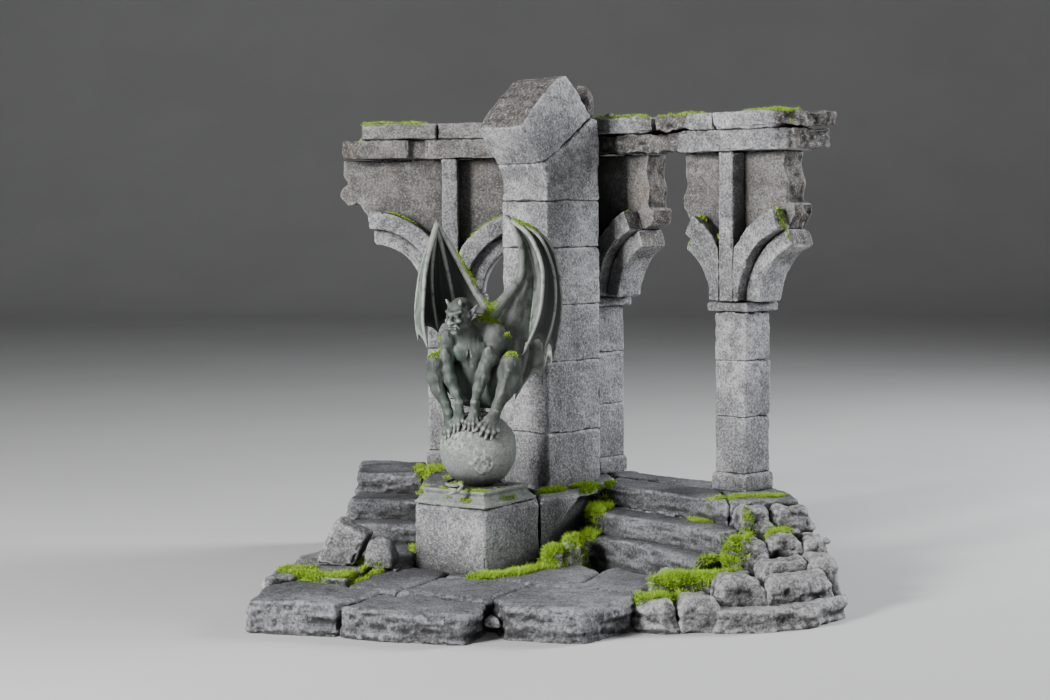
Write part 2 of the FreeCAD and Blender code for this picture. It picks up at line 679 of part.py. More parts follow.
# the corner core's side face stands just short of this distance along the right wall
past_core = -103.8
cornice("right_cornice_upper_inner",
        [(start, upper_front + 5.3), (past_core, upper_front + 5.3), (past_core, upper_front),
         (-72, upper_front + 1), (-66, upper_front + 5), (-58, upper_front + 4),
         (-58, upper_back), (start, upper_back)],
        "cornice_joint", "cornice_top", right_wall)
cornice("right_cornice_upper_outer",
        [(-57.6, upper_front + 4), (-50, upper_front + 2), (-46, upper_front),
         (-6.2, upper_front), (-6.2, upper_back), (-57.6, upper_back)],
        "cornice_joint", "cornice_top", right_wall)
cornice("right_cornice_upper_end",
        [(-5.8, upper_front), (42, upper_front), (46, upper_front + 6), (51, upper_front + 12),
         (55, upper_back - 8), (58.5, upper_back), (-5.8, upper_back)],
        "cornice_joint", "cornice_top", right_wall)

# left arcade
half_span = size("left_half_span")
left_end = size("left_wall_reach")
panel_cut = "dims.left_step_radius + dims.fit_gap"
panel = wall_slab("left_spandrel_panel",
                  [(-30, sill), (30, sill), (left_end, sill), (left_end, soffit),
                   (-75.5, soffit), (-76.2, 253), (-72.8, 248), (-78.2, 243.4),
                   (-78.2, 238.6), (-72.8, 232.5), (-65.3, 234.7), (-60.6, 227.5), (-56, 216.8)],
                  "dims.wall_back", "dims.panel_front", left_wall,
                  [(-half_span, panel_cut), (half_span, panel_cut)])
left_tool, left_disc = magnet_pocket(left_wall, left_end, -1)
carved("left_spandrel_panel", panel, [left_tool])
LEFT = dict(inner=size("left_inner_radius"), step=size("left_step_radius"),
            order=size("left_step_radius") - size("thin_gap"),
            outer=size("left_ring_radius"))
strip_limit = half_span - size("strip_half") - gap
arch_piece("left_arch_ring_a", -half_span, 1, LEFT["step"], LEFT["outer"], 92.0, strip_limit,
           PROUD, "dims.wall_front", left_wall)
arch_piece("left_arch_ring_b", half_span, -1, LEFT["step"], LEFT["outer"], 104.0, strip_limit,
           PROUD, "dims.wall_front", left_wall)
arch_piece("left_arch_soffit_a", -half_span, 1, LEFT["inner"], LEFT["order"], 90.0, None,
           "dims.wall_back", "dims.order_front", left_wall)
arch_piece("left_arch_soffit_b", half_span, -1, LEFT["inner"], LEFT["order"], 106.0, None,
           "dims.wall_back", "dims.order_front", left_wall)
wall_slab("left_pilaster_strip",
          [(-half_strip, sill), (half_strip, sill), (half_strip, soffit), (-half_strip, soffit)],
          PROUD, "dims.wall_front", left_wall, [])
cornice("left_cornice_lower",
        [(-73.5, lower_front + 2), (-70, lower_front), (-28, lower_front),
         (-25, lower_front + 6), (-18, lower_front + 6.5), (-15, lower_front),
         (left_end, lower_front), (left_end, lower_back), (-76, lower_back)],
        "cornice_bottom", "cornice_joint", left_wall)
cornice("left_cornice_upper_outer",
        [(-58, upper_front + 1), (-55, upper_front), (-8, upper_front), (-8, upper_back),
         (-66, upper_back), (-62, upper_front + 14)],
        "cornice_joint", "cornice_top", left_wall)
cornice("left_cornice_upper_inner",
        [(-7.6, upper_front + 2.5), (6, upper_front + 2.5), (8, upper_front),
         (left_end, upper_front), (left_end, upper_back), (-7.6, upper_back)],
        "cornice_joint", "cornice_top", left_wall)

# ---------------------------------------------------------------- pier

pier_hole = cylinder("dims.pier_dowel_radius + dims.glue_gap",
                     "dims.dowel_top - dims.terrace_level",
                     Vector(pier_spot.x, pier_spot.y, size("terrace_level")))
joints = ["terrace_level", "pier_course_a", "pier_course_b", "pier_course_c", "pier_course_d",
          "pier_course_e"]
for number, (low, high) in enumerate(zip(joints, joints[1:]), start=1):
    course = pad_body("course", "XY",
                      [(pier_left, pier_front), (pier_right, pier_front),
                       (pier_right, pier_back), (pier_left, pier_back)],
                      "dims." + low, "dims.%s - dims.%s - dims.bed_gap" % (high, low))
    chamfer_top(course, "dims.pier_edge")
    course.Placement = right_wall
    if number == 1:
        carved("pier_course_1", course, [pier_hole])
    else:
        keep(course, "pier_course_%d" % number)
pier_rod = cylinder("dims.pier_dowel_radius", "dims.dowel_top - dims.dowel_bottom - dims.bed_gap",
                    Vector(pier_spot.x, pier_spot.y, size("dowel_bottom")))
keep(pier_rod, "pier_dowel")


def rib_stone(label, outline):
    """A stone of the pier's head: an outline in depth and height, padded across the pier."""
    body = doc.addObject("PartDesign::Body", label)
    sketch = new_sketch(body, "YZ")
    sketch.AttachmentOffset = Placement(Vector(0, 0, pier_left), Rotation())
    draw_loop(sketch, [(-depth, level) for depth, level in outline])
    pad = body.newObject("PartDesign::Pad", "pad")
    pad.Profile = sketch
    pad.setExpression("Length", "dims.pier_width")
    body.Tip = pad
    doc.recompute()
    body.Placement = right_wall
    doc.recompute()
    return keep(body, label)


front, back = -pier_front, -pier_back
rib_stone("pier_springer", [(front, 235.0), (front, 250.0), (83.9, 257.3), (62.4, 269.7),
                            (38.5, 286.9), (back, 286.0), (back, 235.0)])
rib_stone("pier_broken_rib", [(84.1, 257.5), (92.0, 267.5), (101.5, 279.8), (93.0, 291.0),
                              (83.9, 299.6), (69.6, size("pier_top") - 1.4),
                              (62.4, size("pier_top")), (45.9, 296.1), (38.7, 287.1),
                              (62.5, 269.9)])

core_plan = [(-3.0, 84.5), (4.6, 77.3), (21.8, 60.2), (31.7, 69.9), (8.0, 93.4), (30.6, 116.0),
             (22.0, 127.0), (8.2, 144.0), (3.4, 111.7), (2.8, 105.5), (-3.0, 105.5)]
corner = pad_body("corner", "XY", core_plan, "dims.terrace_level",
                  "dims.cornice_top - dims.terrace_level")
# from each arcade's end face to the corner's own face
left_play, right_play = 0.75, 0.35
left_core_tool, left_core_disc = magnet_pocket(left_wall, left_end + left_play, 1)
right_core_tool, right_core_disc = magnet_pocket(right_wall, start - right_play, -1)
carved("corner_core", corner, [left_core_tool, right_core_tool])
gathered("corner_magnets", [left_core_disc, right_core_disc])
keep(left_disc, "left_arcade_magnet")
keep(respond_disc, "right_arcade_magnet")
boulder("pier_head_boulder", [(15, 70), (25, 64.5), (31, 71), (22, 80), (14, 79)],
        size("cornice_top") + size("thin_gap"), 310.0)
rest_on(kept[-1], piece("pier_broken_rib"), piece("pier_springer"))

# ---------------------------------------------------------------- statue


def spot_vector(values):
    return Vector(values[0], values[1], values[2])


def limb(points):
    """A run of round tapering lengths joined by balls, from (x, y, z, radius) stations."""
    shape = None
    for first, second in zip(points, points[1:]):
        start_point, end_point = spot_vector(first), spot_vector(second)
        axis = end_point - start_point
        length = axis.Length
        if abs(first[3] - second[3]) < 0.01:
            stretch = Part.makeCylinder(first[3], length, start_point, axis)
        else:
            stretch = Part.makeCone(first[3], second[3], length, start_point, axis)
        ball = Part.makeSphere(second[3], end_point)
        joined = stretch.fuse(ball)
        shape = joined if shape is None else shape.fuse(joined)
    first_ball = Part.makeSphere(points[0][3], spot_vector(points[0]))
    return shape.fuse(first_ball)


cap = pad_body("cap", "XY", rectangle(size("cap_side") / 2, size("cap_side") / 2),
               "dims.terrace_level", "dims.cap_top - dims.terrace_level")
cap_block = cap.Tip
cap_chamfer = cap.newObject("PartDesign::Chamfer", "cap_slope")
cap_chamfer.Base = (cap_block, edges_at(cap_block.Shape, size("cap_top")))
cap_chamfer.ChamferType = "Two distances"
cap_chamfer.Size = size("cap_top") - size("terrace_level") - size("cap_foot")
cap_chamfer.Size2 = (size("cap_side") - size("cap_top_side")) / 2
cap.Tip = cap_chamfer
doc.recompute()
cap.Placement = statue_turn
globe_centre = Vector(-44.9, -35.3, size("globe_level"))
dish = doc.addObject("Part::Sphere", "dish")
dish.setExpression("Radius", "dims.globe_radius + dims.fit_gap")
dish.Placement = Placement(globe_centre, Rotation())
peg_hole = cylinder("dims.peg_radius + dims.glue_gap", "dims.peg_top - dims.terrace_level",
                    Vector(statue_spot.x, statue_spot.y, size("terrace_level")))
carved("plinth_cap", cap, [dish, peg_hole])
peg = cylinder("dims.peg_radius", "dims.peg_top - dims.peg_bottom - dims.bed_gap",
               Vector(statue_spot.x, statue_spot.y, size("peg_bottom")))
keep(peg, "statue_peg")
globe = doc.addObject("Part::Sphere", "globe")
globe.setExpression("Radius", "dims.globe_radius")
globe.Placement = Placement(globe_centre, Rotation())
doc.recompute()
keep(globe, "globe")

head_form = doc.addObject("Part::Ellipsoid", "head_form")
head_form.setExpression("Radius1", "dims.head_height")
head_form.setExpression("Radius2", "dims.head_width")
head_form.setExpression("Radius3", "dims.head_length")
head_form.Placement = Placement(Vector(-54.0, -45.0, 165.0), Rotation(Vector(0, 0, 1), -38))
doc.recompute()
statue = {}
statue["gargoyle_torso"] = limb([(-44.5, -29.0, 120, 10.5), (-45.0, -30.5, 131, 9.6),
                                 (-48.0, -34.0, 147, 12.0), (-51.5, -38.5, 156, 6.5)])
statue["gargoyle_head"] = head_form.Shape.copy()
statue["gargoyle_left_arm"] = limb([(-63.5, -37, 147, 5.6), (-65, -43, 131, 4.2),
                                    (-57, -51, 110, 3.4)])
statue["gargoyle_right_arm"] = limb([(-37, -38, 149, 6.2), (-42, -46, 131, 4.4),
                                     (-47.5, -52, 109, 3.4)])
statue["gargoyle_left_leg"] = limb([(-53, -30, 122, 7.2), (-69, -44, 138, 6.2),
                                    (-65, -44, 109, 3.6), (-64, -51, 104, 3.4)])
statue["gargoyle_right_leg"] = limb([(-36, -30, 120, 7.6), (-26, -46, 138, 6.6),
                                     (-38, -44, 110, 3.8), (-39, -56, 101.5, 3.6)])
statue["gargoyle_tail"] = limb([(-40, -22, 114, 3.6), (-40, -10, 98, 2.8), (-52, -6, 76, 2.4),
                                (-62, -20, 70, 2.0)])


def wing(points, turn, anchor):
    """A wing: a flat outline in its own upright plane, turned about its root."""
    corners = [Vector(across, 0, up) for across, up in points]
    face = Part.Face(Part.makePolygon(corners + corners[:1]))
    shape = face.extrude(Vector(0, size("wing_thickness"), 0))
    shape.Placement = Placement(anchor, Rotation(Vector(0, 0, 1), turn))
    return shape


statue["gargoyle_left_wing"] = wing([(0, 0), (-8, 22), (-24, 44), (-29, 66), (-34, 55),
                                     (-41, 32), (-42.5, 2), (-40.5, -24), (-34, -36),
                                     (-24, -20), (-10, -12)], 14, Vector(-42, -24, 155))
statue["gargoyle_right_wing"] = wing([(0, 0), (12, 18), (19, 40), (14, 70), (26, 62), (36, 44),
                                      (44, 18), (46, -10), (44, -38), (30, -58), (14, -64),
                                      (8, -40), (4, -16)], 4, Vector(-40, -24, 155))
order = ["gargoyle_torso", "gargoyle_head", "gargoyle_left_leg", "gargoyle_right_leg",
         "gargoyle_left_arm", "gargoyle_right_arm", "gargoyle_tail", "gargoyle_left_wing",
         "gargoyle_right_wing"]
earlier = [globe.Shape, piece("plinth_cap").Shape]
for label in order:
    shape = statue[label]
    for other in earlier:
        if shape.BoundBox.intersect(other.BoundBox):
            shape = shape.cut(other)
    shape = biggest(shape)
    earlier.append(shape)
    solid_feature(label, shape)

# ---------------------------------------------------------------- groups of like pieces

GROUPS = {
    "front_slabs": ["front_slab_left", "front_slab_middle", "front_slab_right"],
    "paving_slabs": ["paving_slab_left", "paving_slab_middle", "paving_slab_back",
                     "paving_slab_right"],
    "left_steps": ["left_step_lower", "left_step_upper"],
    "right_steps": ["right_step_lower", "right_step_middle"],
    "right_landing_slabs": ["right_landing_front", "right_landing_end", "right_landing_back"],
    "terrace_slabs": ["terrace_slab_left", "terrace_slab_middle", "terrace_slab_back"],
    "bank_rocks_upper": ["bank_rock_upper_left", "bank_rock_upper_right", "bank_rock_step_end",
                         "bank_rock_middle", "bank_rock_right"],
    "bank_rocks_lower": ["bank_rock_moss_bed", "bank_rock_front", "bank_rock_corner",
                         "bank_rock_flat", "bank_rock_low_right"],
    "kerb_stones": ["kerb_rock_left", "kerb_rock_right", "edge_plinth"],
    "cave_rubble": ["cave_rubble_large", "cave_rubble_small"],
    "pier_courses": ["pier_course_%d" % number for number in range(1, 6)],
    "left_column_base": ["left_column_base_block", "left_column_base_moulding"],
    "left_column_drums": ["left_column_drum_%d" % number for number in range(1, 4)],
    "left_arch_rings": ["left_arch_ring_a", "left_arch_ring_b"],
    "left_arch_soffits": ["left_arch_soffit_a", "left_arch_soffit_b"],
    "left_cornice_upper": ["left_cornice_upper_outer", "left_cornice_upper_inner"],
    "right_column_bases": ["right_column_base_block", "right_column_base_moulding",
                           "respond_column_base_block", "respond_column_base_moulding"],
    "right_arcade_drums": ["%s_drum_%d" % (name, number) for number in range(1, 4)
                           for name in ("right_column", "respond_column")],
    "right_column_collars": ["right_column_collar", "respond_column_collar"],
    "right_arcade_dowels": ["right_column_dowel", "respond_column_dowel"],
    "right_spandrel_panels": ["right_spandrel_panel", "respond_spandrel_panel"],
    "right_arch_rings": ["right_arch_ring_a", "right_arch_ring_b", "respond_arch_ring"],
    "right_arch_soffits": ["right_arch_soffit_a", "right_arch_soffit_b",
                           "respond_arch_soffit"],
    "right_pilaster_strips": ["right_pilaster_strip", "respond_pilaster_strip"],
    "right_cornice_upper": ["right_cornice_upper_inner", "right_cornice_upper_outer",
                            "right_cornice_upper_end"],
    "gargoyle_arms": ["gargoyle_left_arm", "gargoyle_right_arm"],
    "gargoyle_legs": ["gargoyle_left_leg", "gargoyle_right_leg"],
}
for label, members in GROUPS.items():
    gathered(label, [piece(member) for member in members])

# ---------------------------------------------------------------- origin

# The plans are drawn from the middle of the paving; the origin is under the middle of the whole.
middle = Vector(size("middle_x"), size("middle_y"), 0)
for thing in kept:
    thing.Placement = Placement(-middle, Rotation()).multiply(thing.Placement)

# ---------------------------------------------------------------- checks and files

doc.recompute()
whole = FreeCAD.BoundBox()
for thing in kept:
    whole.add(thing.Shape.BoundBox)
print("whole:", whole)
labels = [thing.Label for thing in kept]
if len(set(labels)) != len(labels):
    raise RuntimeError("two pieces share a name")
for thing in doc.Objects:
    if "Invalid" in thing.State or "Error" in thing.State:
        raise RuntimeError("bad object %s (%s): %s" % (thing.Name, thing.Label, thing.State))
for thing in kept:
    if thing.Shape.isNull() or not thing.Shape.isValid() or not thing.Shape.Solids:
        raise RuntimeError("bad shape: " + thing.Label)

os.makedirs("parts", exist_ok=True)
for thing in kept:
    thing.Shape.exportStep("parts/%s.step" % thing.Label)
print("pieces:", len(kept))
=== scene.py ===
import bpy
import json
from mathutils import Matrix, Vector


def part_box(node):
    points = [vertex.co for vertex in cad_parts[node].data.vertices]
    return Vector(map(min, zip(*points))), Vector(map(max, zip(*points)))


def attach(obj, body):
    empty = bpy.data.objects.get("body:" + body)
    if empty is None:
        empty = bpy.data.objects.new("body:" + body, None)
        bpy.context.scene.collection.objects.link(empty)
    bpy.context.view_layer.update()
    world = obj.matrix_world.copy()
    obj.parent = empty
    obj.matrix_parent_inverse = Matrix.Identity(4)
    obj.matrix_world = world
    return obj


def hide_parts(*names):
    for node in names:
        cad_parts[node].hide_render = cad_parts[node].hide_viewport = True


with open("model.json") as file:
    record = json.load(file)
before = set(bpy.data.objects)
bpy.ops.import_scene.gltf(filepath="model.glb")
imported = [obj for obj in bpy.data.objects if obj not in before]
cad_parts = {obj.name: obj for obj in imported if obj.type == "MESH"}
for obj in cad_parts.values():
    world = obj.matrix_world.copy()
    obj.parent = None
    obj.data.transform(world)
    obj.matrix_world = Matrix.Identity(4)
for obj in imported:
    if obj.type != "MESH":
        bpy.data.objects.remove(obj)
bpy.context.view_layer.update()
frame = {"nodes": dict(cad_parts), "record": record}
import json
import math

import bmesh
import bpy
import numpy as np
import openvdb
from mathutils import Matrix, Vector
from mathutils.bvhtree import BVHTree

# The looks of the terrain ruin. Sizes are in mm until a mesh is made, then in metres. Seeds,
# noise scales and shares are given where they are used.

MM = 0.001  # in metres
METRE = 1000.0  # in mm
rng = np.random.default_rng(11)

# ---- noise


class Lattice:
    """Smooth random values in space, the same wherever they are asked for."""

    def __init__(self, seed, cells=32):
        self.cells = cells
        self.values = np.random.default_rng(seed).random((cells, cells, cells)).astype("f4")

    def at(self, points, scale):
        spot = points / scale
        low = np.floor(spot).astype(np.int64)
        part = (spot - low).astype("f4")
        part = part * part * (3.0 - 2.0 * part)
        low %= self.cells
        high = (low + 1) % self.cells
        total = np.zeros(len(points), "f4")
        for corner in np.ndindex(2, 2, 2):
            cell = tuple((high if far else low)[:, axis] for axis, far in enumerate(corner))
            x, y, z = (part[:, axis] if far else 1 - part[:, axis]
                       for axis, far in enumerate(corner))
            total += self.values[cell] * (x * y * z)
        return total


LATTICES = [Lattice(seed) for seed in range(6)]


def rumple(points, scale, octaves=3, seed=0, gain=0.5):
    """Layered noise between about -1 and 1; scale is the size of its largest lumps."""
    total = np.zeros(len(points), "f4")
    weight, reach = 1.0, 0.0
    for octave in range(octaves):
        lattice = LATTICES[(seed + octave) % len(LATTICES)]
        shift = 37.1 * seed + 11.3 * octave
        total += weight * (2.0 * lattice.at(points + shift, scale / 2 ** octave) - 1.0)
        reach += weight
        weight *= gain
    return total / reach * 1.6


def step(low, high, values):
    part = np.clip((values - low) / (high - low), 0.0, 1.0)
    return part * part * (3.0 - 2.0 * part)


# ---- meshes as arrays


def box_of(node):
    """The low and the high corner of a CAD node, in mm."""
    return [np.array(corner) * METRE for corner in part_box(node)]


def islands(node):
    """The separate solids of a CAD node: corners in metres, and the corners of each face."""
    whole = bmesh.new()
    whole.from_mesh(frame["nodes"][node].data)
    bmesh.ops.remove_doubles(whole, verts=whole.verts, dist=2e-6)
    whole.verts.ensure_lookup_table()
    seen = set()
    pieces = []
    for vertex in whole.verts:
        if vertex.index in seen:
            continue
        stack, group = [vertex], []
        seen.add(vertex.index)
        while stack:
            here = stack.pop()
            group.append(here)
            for edge in here.link_edges:
                other = edge.other_vert(here)
                if other.index not in seen:
                    seen.add(other.index)
                    stack.append(other)
        numbers = {vertex.index: count for count, vertex in enumerate(group)}
        corners = [vertex.co.copy() for vertex in group]
        faces = {face for vertex in group for face in vertex.link_faces}
        loops = [[numbers[vertex.index] for vertex in face.verts] for face in faces]
        pieces.append((corners, loops))
    whole.free()
    return pieces


def placed(name, data):
    """A new object in the scene."""
    thing = bpy.data.objects.new(name, data)
    bpy.context.scene.collection.objects.link(thing)
    return thing


def column_of(rows, key, width, kind):
    """One property of a mesh's vertices, edges or corners."""
    values = np.empty(len(rows) * width, kind)
    rows.foreach_get(key, values)
    return values.reshape(-1, width)


def remeshed(corners, loops, voxel):
    """Even quads over a closed solid: vertices in mm, quads, edges."""
    mesh = bpy.data.meshes.new("grain")
    mesh.from_pydata(corners, [], loops)
    thing = placed("grain", mesh)
    grain = thing.modifiers.new("grain", "REMESH")
    grain.mode = "VOXEL"
    grain.voxel_size = voxel * MM
    bpy.context.view_layer.update()
    ready = thing.evaluated_get(bpy.context.evaluated_depsgraph_get())
    result = ready.to_mesh()
    points = column_of(result.vertices, "co", 3, "f4")
    quads = column_of(result.loops, "vertex_index", 1, "i4")
    edges = column_of(result.edges, "vertices", 2, "i4")
    count = len(result.polygons)
    ready.to_mesh_clear()
    bpy.data.objects.remove(thing)
    bpy.data.meshes.remove(mesh)
    if len(quads) != 4 * count:
        raise RuntimeError("the remesh gave faces that aren't quads")
    return points * METRE, quads.reshape(-1, 4), edges


def neighbour_mean(values, edges):
    flat = values.reshape(len(values), -1)
    count = np.bincount(edges.ravel(), minlength=len(values)).astype("f4")
    mean = np.empty_like(flat)
    for column in range(flat.shape[1]):
        total = np.bincount(edges[:, 0], flat[edges[:, 1], column], len(values))
        total += np.bincount(edges[:, 1], flat[edges[:, 0], column], len(values))
        mean[:, column] = total / np.maximum(count, 1)
    return mean.reshape(values.shape)


def relax(values, edges, rounds, share=0.5):
    for _ in range(rounds):
        values = values + share * (neighbour_mean(values, edges) - values)
    return values


def vertex_normals(points, faces):
    """Area-weighted normals for quads or triangles."""
    spans = ((0, 2), (1, 3)) if faces.shape[1] == 4 else ((0, 1), (0, 2))
    flat = np.cross(*(points[faces[:, end]] - points[faces[:, start]] for start, end in spans))
    normals = np.empty_like(points)
    for axis in range(3):
        total = np.zeros(len(points))
        for corner in range(faces.shape[1]):
            total += np.bincount(faces[:, corner], flat[:, axis], len(points))
        normals[:, axis] = total
    length = np.linalg.norm(normals, axis=1, keepdims=True)
    return normals / np.maximum(length, 1e-9)


def convexity(points, edges, normals, rounds=2):
    """How far each vertex stands out of its surroundings: above 0 on edges, below in hollows."""
    stand = ((points - neighbour_mean(points, edges)) * normals).sum(axis=1)
    return relax(stand, edges, rounds)


def grid_faces(rows, columns, closed):
    """Quads between the rows of a grid of points; closed joins each row's end to its start."""
    faces = []
    for row in range(rows - 1):
        for column in range(columns if closed else columns - 1):
            after = (column + 1) % columns
            faces.append((row * columns + column, row * columns + after,
                          (row + 1) * columns + after, (row + 1) * columns + column))
    return np.array(faces)


def edges_of(faces):
    sides = faces.shape[1]
    pairs = np.concatenate([faces[:, [side, (side + 1) % sides]] for side in range(sides)])
    return np.unique(np.sort(pairs, axis=1), axis=0)


def mesh_object(name, points, faces, material, values=None, smooth=True):
    """A Blender object from arrays in mm, with named values on its vertices."""
    mesh = bpy.data.meshes.new(name)
    sides = faces.shape[1]
    mesh.vertices.add(len(points))
    mesh.vertices.foreach_set("co", (points * MM).astype("f4").ravel())
    mesh.loops.add(faces.size)
    mesh.loops.foreach_set("vertex_index", faces.astype("i4").ravel())
    mesh.polygons.add(len(faces))
    mesh.polygons.foreach_set("loop_start", np.arange(0, faces.size, sides, dtype="i4"))
    mesh.polygons.foreach_set("loop_total", np.full(len(faces), sides, "i4"))
    mesh.update(calc_edges=True)
    mesh.validate()
    mesh.polygons.foreach_set("use_smooth", np.full(len(mesh.polygons), smooth))
    for key, column in (values or {}).items():
        layer = mesh.attributes.new(key, "FLOAT", "POINT")
        layer.data.foreach_set("value", column.astype("f4"))
    mesh.materials.append(material)
    return placed(name, mesh)


def joined(parts):
    """Several (points, faces, values) sets as one."""
    points = np.concatenate([part[0] for part in parts])
    starts = np.cumsum([0] + [len(part[0]) for part in parts[:-1]])
    faces = np.concatenate([part[1] + start for part, start in zip(parts, starts)])
    keys = parts[0][2].keys()
    values = {key: np.concatenate([part[2][key] for part in parts]) for key in keys}
    return points, faces, values


# ---- materials


class Nodes:
    """A small builder for one material's node tree."""

    def __init__(self, name):
        self.material = bpy.data.materials.new(name)
        self.material.use_nodes = True
        self.tree = self.material.node_tree
        self.shader = self.tree.nodes["Principled BSDF"]
        coords = self.tree.nodes.new("ShaderNodeTexCoord")
        self.space = coords.outputs["Object"]

    def feed(self, slot, source):
        """Sets a number or a colour, links anything else."""
        if isinstance(source, (int, float)):
            slot.default_value = source
        elif isinstance(source, tuple):
            slot.default_value = (*source, 1.0)
        else:
            self.tree.links.new(source, slot)

    def node(self, kind, **sources):
        """A node with sources for its inputs, named with _ for a space."""
        node = self.tree.nodes.new("ShaderNode" + kind)
        for key, source in sources.items():
            self.feed(node.inputs[key.replace("_", " ")], source)
        return node

    def value(self, attribute):
        node = self.node("Attribute")
        node.attribute_name = attribute
        return node.outputs["Fac"]

    def noise(self, lumps_per_metre, detail=6.0, rough=0.6, stretch=None):
        space = self.space
        if stretch:
            mapping = self.node("Mapping", Vector=space)
            mapping.inputs["Scale"].default_value = stretch
            space = mapping.outputs["Vector"]
        return self.node("TexNoise", Scale=lumps_per_metre, Detail=detail, Roughness=rough,
                         Vector=space).outputs["Fac"]

    def ramp(self, source, low, high):
        """0 below low, 1 above high."""
        node = self.node("MapRange", Value=source, From_Min=low, From_Max=high)
        node.interpolation_type = "SMOOTHSTEP"
        return node.outputs["Result"]

    def maths(self, kind, first, second):
        node = self.node("Math")
        node.operation = kind
        self.feed(node.inputs[0], first)
        self.feed(node.inputs[1], second)
        return node.outputs["Value"]

    def mix(self, amount, first, second):
        node = self.node("Mix")
        node.data_type = "RGBA"
        for number, source in ((0, amount), (6, first), (7, second)):
            self.feed(node.inputs[number], source)
        return node.outputs[2]

    def share(self, source, amount):
        return self.maths("MULTIPLY", source, amount)

    def layered(self, colour, *layers):
        """Paints each (mask, share, paint) over the colour in turn."""
        for mask, share, paint in layers:
            colour = self.mix(self.share(mask, share), colour, paint)
        return colour

    def painted_occlusion(self, reach):
        """Painted shade from ambient occlusion: 1 deep in corners and joints, 0 in the open."""
        node = self.node("AmbientOcclusion", Distance=reach)
        node.samples = 6
        return self.maths("SUBTRACT", 1.0, node.outputs["AO"])

    def bump(self, source, height, strength=1.0, before=None):
        node = self.node("Bump", Distance=height, Strength=strength, Height=source)
        if before:
            self.feed(node.inputs["Normal"], before)
        return node.outputs["Normal"]

    def finish(self, colour, roughness, normal=None):
        self.feed(self.shader.inputs["Base Color"], colour)
        self.feed(self.shader.inputs["Roughness"], roughness)
        if normal:
            self.feed(self.shader.inputs["Normal"], normal)
        return self.material


# near black: the soot runs on the stone, and the colour of painted shade in hollows, joints and
# corners
SOOT_AND_SHADE = (0.012, 0.011, 0.010)
EARTH = (0.036, 0.029, 0.022)


def stone_material(name, light, mid, dark, tan, tan_share, green_share, grit=1.0):
    """Painted stone: sandy grain, soot runs, soft painted shade in the hollows and towards the
    joints, dry-brushed edges.
    """
    n = Nodes(name)
    wide = n.ramp(n.noise(19, 6, 0.68), 0.42, 0.58)
    middling = n.ramp(n.noise(75, 6, 0.70), 0.40, 0.66)
    sand = n.noise(760, 5, 0.82)
    pale = tuple(min(0.80, part * 1.25 + 0.06) for part in light)
    tan_patch = n.ramp(n.noise(27, 6, 0.72), 0.66 - tan_share, 0.84 - tan_share)
    green = n.ramp(n.noise(15, 6, 0.72), 0.70 - green_share, 0.92 - green_share)
    crag = n.mix(n.share(n.ramp(n.noise(120, 6, 0.72), 0.40, 0.70), 0.6), EARTH, tan)
    runs = n.ramp(n.noise(42, 6, 0.7, (1.0, 1.0, 0.16)), 0.50, 0.74)
    # painted shade deep in corners and joints, from ambient occlusion
    corner_shade = n.painted_occlusion(0.032)
    brushed = n.maths("MULTIPLY", n.value("edge"), n.ramp(n.noise(330, 5, 0.75), 0.40, 0.60))
    colour = n.layered(
        n.mix(wide, mid, light), (middling, 0.70, dark), (tan_patch, 0.60, tan),
        (green, 0.35, (0.085, 0.100, 0.062)), (n.value("broken"), 0.80, crag),
        (n.ramp(sand, 0.50, 0.41), 0.78 * grit, dark),
        (n.ramp(sand, 0.53, 0.62), 0.55 * grit, pale), (runs, 0.42, SOOT_AND_SHADE),
        # painted shade: near black in the hollows and, in two steps, deep in corners and joints
        (n.value("hollow_shade"), 0.88, SOOT_AND_SHADE), (n.ramp(corner_shade, 0.14, 0.62), 0.66, SOOT_AND_SHADE),
        (n.ramp(corner_shade, 0.50, 0.92), 0.80, SOOT_AND_SHADE), (brushed, 0.62, pale))
    normal = n.bump(sand, 0.0007 * grit, 0.90)
    normal = n.bump(n.noise(210, 5, 0.75), 0.0008 * grit, 0.55, normal)
    return n.finish(colour, n.maths("ADD", n.share(middling, 0.18), 0.68), normal)


STONE = stone_material("grey_stone", (0.47, 0.47, 0.485), (0.205, 0.205, 0.217),
                       (0.050, 0.049, 0.053), (0.235, 0.190, 0.150), 0.05, 0.00)
# paving: its own bluer grey, darkened further by painted shade that stands in for the dim light on
# slab tops and steps
SHADED_PAVING = stone_material("paving_stone", (0.27, 0.275, 0.295), (0.115, 0.117, 0.128),
                        (0.030, 0.030, 0.034), (0.200, 0.160, 0.122), 0.02, 0.03)
PANEL = stone_material("panel_stone", (0.34, 0.33, 0.325), (0.175, 0.167, 0.162),
                       (0.050, 0.046, 0.044), (0.200, 0.158, 0.120), 0.12, 0.04)
GLOBE_STONE = stone_material("globe_stone", (0.37, 0.385, 0.365), (0.235, 0.250, 0.238),
                             (0.115, 0.130, 0.118), (0.200, 0.220, 0.185), 0.06, 0.05, 0.65)


